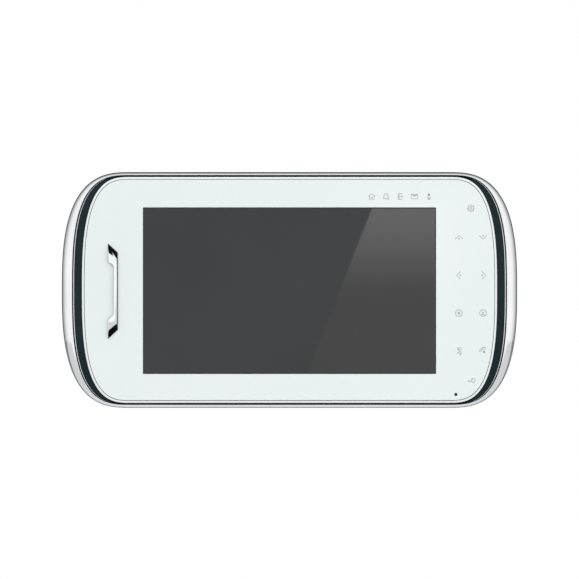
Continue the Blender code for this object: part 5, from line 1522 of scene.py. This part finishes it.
# small parts on the board, in mm; a row is its z and its pitch
boardPartLook = {"body": (1.7, 0.95, 0.6), "bodyInset": 0.2, "end": 0.36, "endGrow": 0.06,
                 "roundTop": 0.12, "roundSide": 0.16, "face": 12.0, "lift": 0.03,
                 "rows": ((-14.3, 3.1), (-24.0, 3.1), (-27.6, 4.3), (5.0, 3.6), (12.0, 4.6),
                          (41.0, 3.4), (-36.0, 4.0)),
                 "reach": 35.0, "skipEvery": 5, "switchSpan": (2, 18), "switchTop": -30}


def smallParts(look):
    # rows of chip resistors and capacitors between the connectors and the board's edges
    long, tall, thick = look["body"]
    places = []
    left, right = look["switchSpan"]
    for rowNumber, (z, pitch) in enumerate(look["rows"]):
        count = int(2 * look["reach"] / pitch)
        for number in range(count):
            x = (number - (count - 1) / 2) * pitch
            overSwitch = z < look["switchTop"] and left < x < right
            if (number * 3 + rowNumber * 2) % look["skipEvery"] and not overSwitch:
                places.append((x * mm, 0, z * mm))
    face = look["face"] - look["lift"]

    def chip(name, grow, low, high):
        shape = bmesh.new()
        top = thick + grow / 2
        for first, last in ((low, high), (-high, -low)) if low > 0 else ((low, high),):
            loft(shape, [rectangle((first + last) / 2 * mm, 0, (last - first) * mm - trim * mm,
                                   (tall + grow - trim) * mm, (face - d) * mm)
                         for trim, d in ((0.0, 0.0), (0.0, top - look["roundTop"]),
                                         (look["roundSide"], top))])
        return built(name, shape)

    half = long / 2 - look["bodyInset"]
    bodies = repeated("boardChips", chip("chipBody", 0.0, -half, half), places,
                      finish["black_plastic"])
    done(bodies, "monitor", "black_plastic")
    end = chip("chipEnd", look["endGrow"], long / 2 - look["end"], long / 2)
    done(repeated("boardChipEnds", end, places, pinFinish), "monitor", "zinc_steel",
         material=pinFinish)


smallParts(boardPartLook)


leadLook = {"pitch": 0.8 * mm, "count": 19, "long": 1.1 * mm, "wide": 0.34 * mm, "out": 0.3 * mm,
            # how much narrower and at what depth: foot, middle and top of a lead
            "layers": ((0.1 * mm, 11.97 * mm), (0.0, 11.9 * mm), (0.1 * mm, 11.72 * mm))}


def chipLeads(look):
    # gull-wing leads on the four sides of the main chip
    low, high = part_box("processor")
    middle = (low + high) / 2
    outX = (high.x - low.x) / 2 + look["out"]
    outZ = (high.z - low.z) / 2 + look["out"]
    steps = [(number - (look["count"] - 1) / 2) * look["pitch"] for number in range(look["count"])]
    for name, width, height, places in (
            ("mainChipLeadsSide", look["long"], look["wide"],
             [(middle.x + sign * outX, 0, middle.z + step) for step in steps for sign in (-1, 1)]),
            ("mainChipLeadsEnd", look["wide"], look["long"],
             [(middle.x + step, 0, middle.z + sign * outZ) for step in steps for sign in (-1, 1)])):
        shape = bmesh.new()
        loft(shape, [rectangle(0, 0, width - t, height - t, d) for t, d in look["layers"]])
        item = repeated(name, built(name + "One", shape), places, pinFinish)
        done(item, "monitor", "zinc_steel", material=pinFinish)


chipLeads(leadLook)
print("bracket, speaker, connectors and board parts ready")
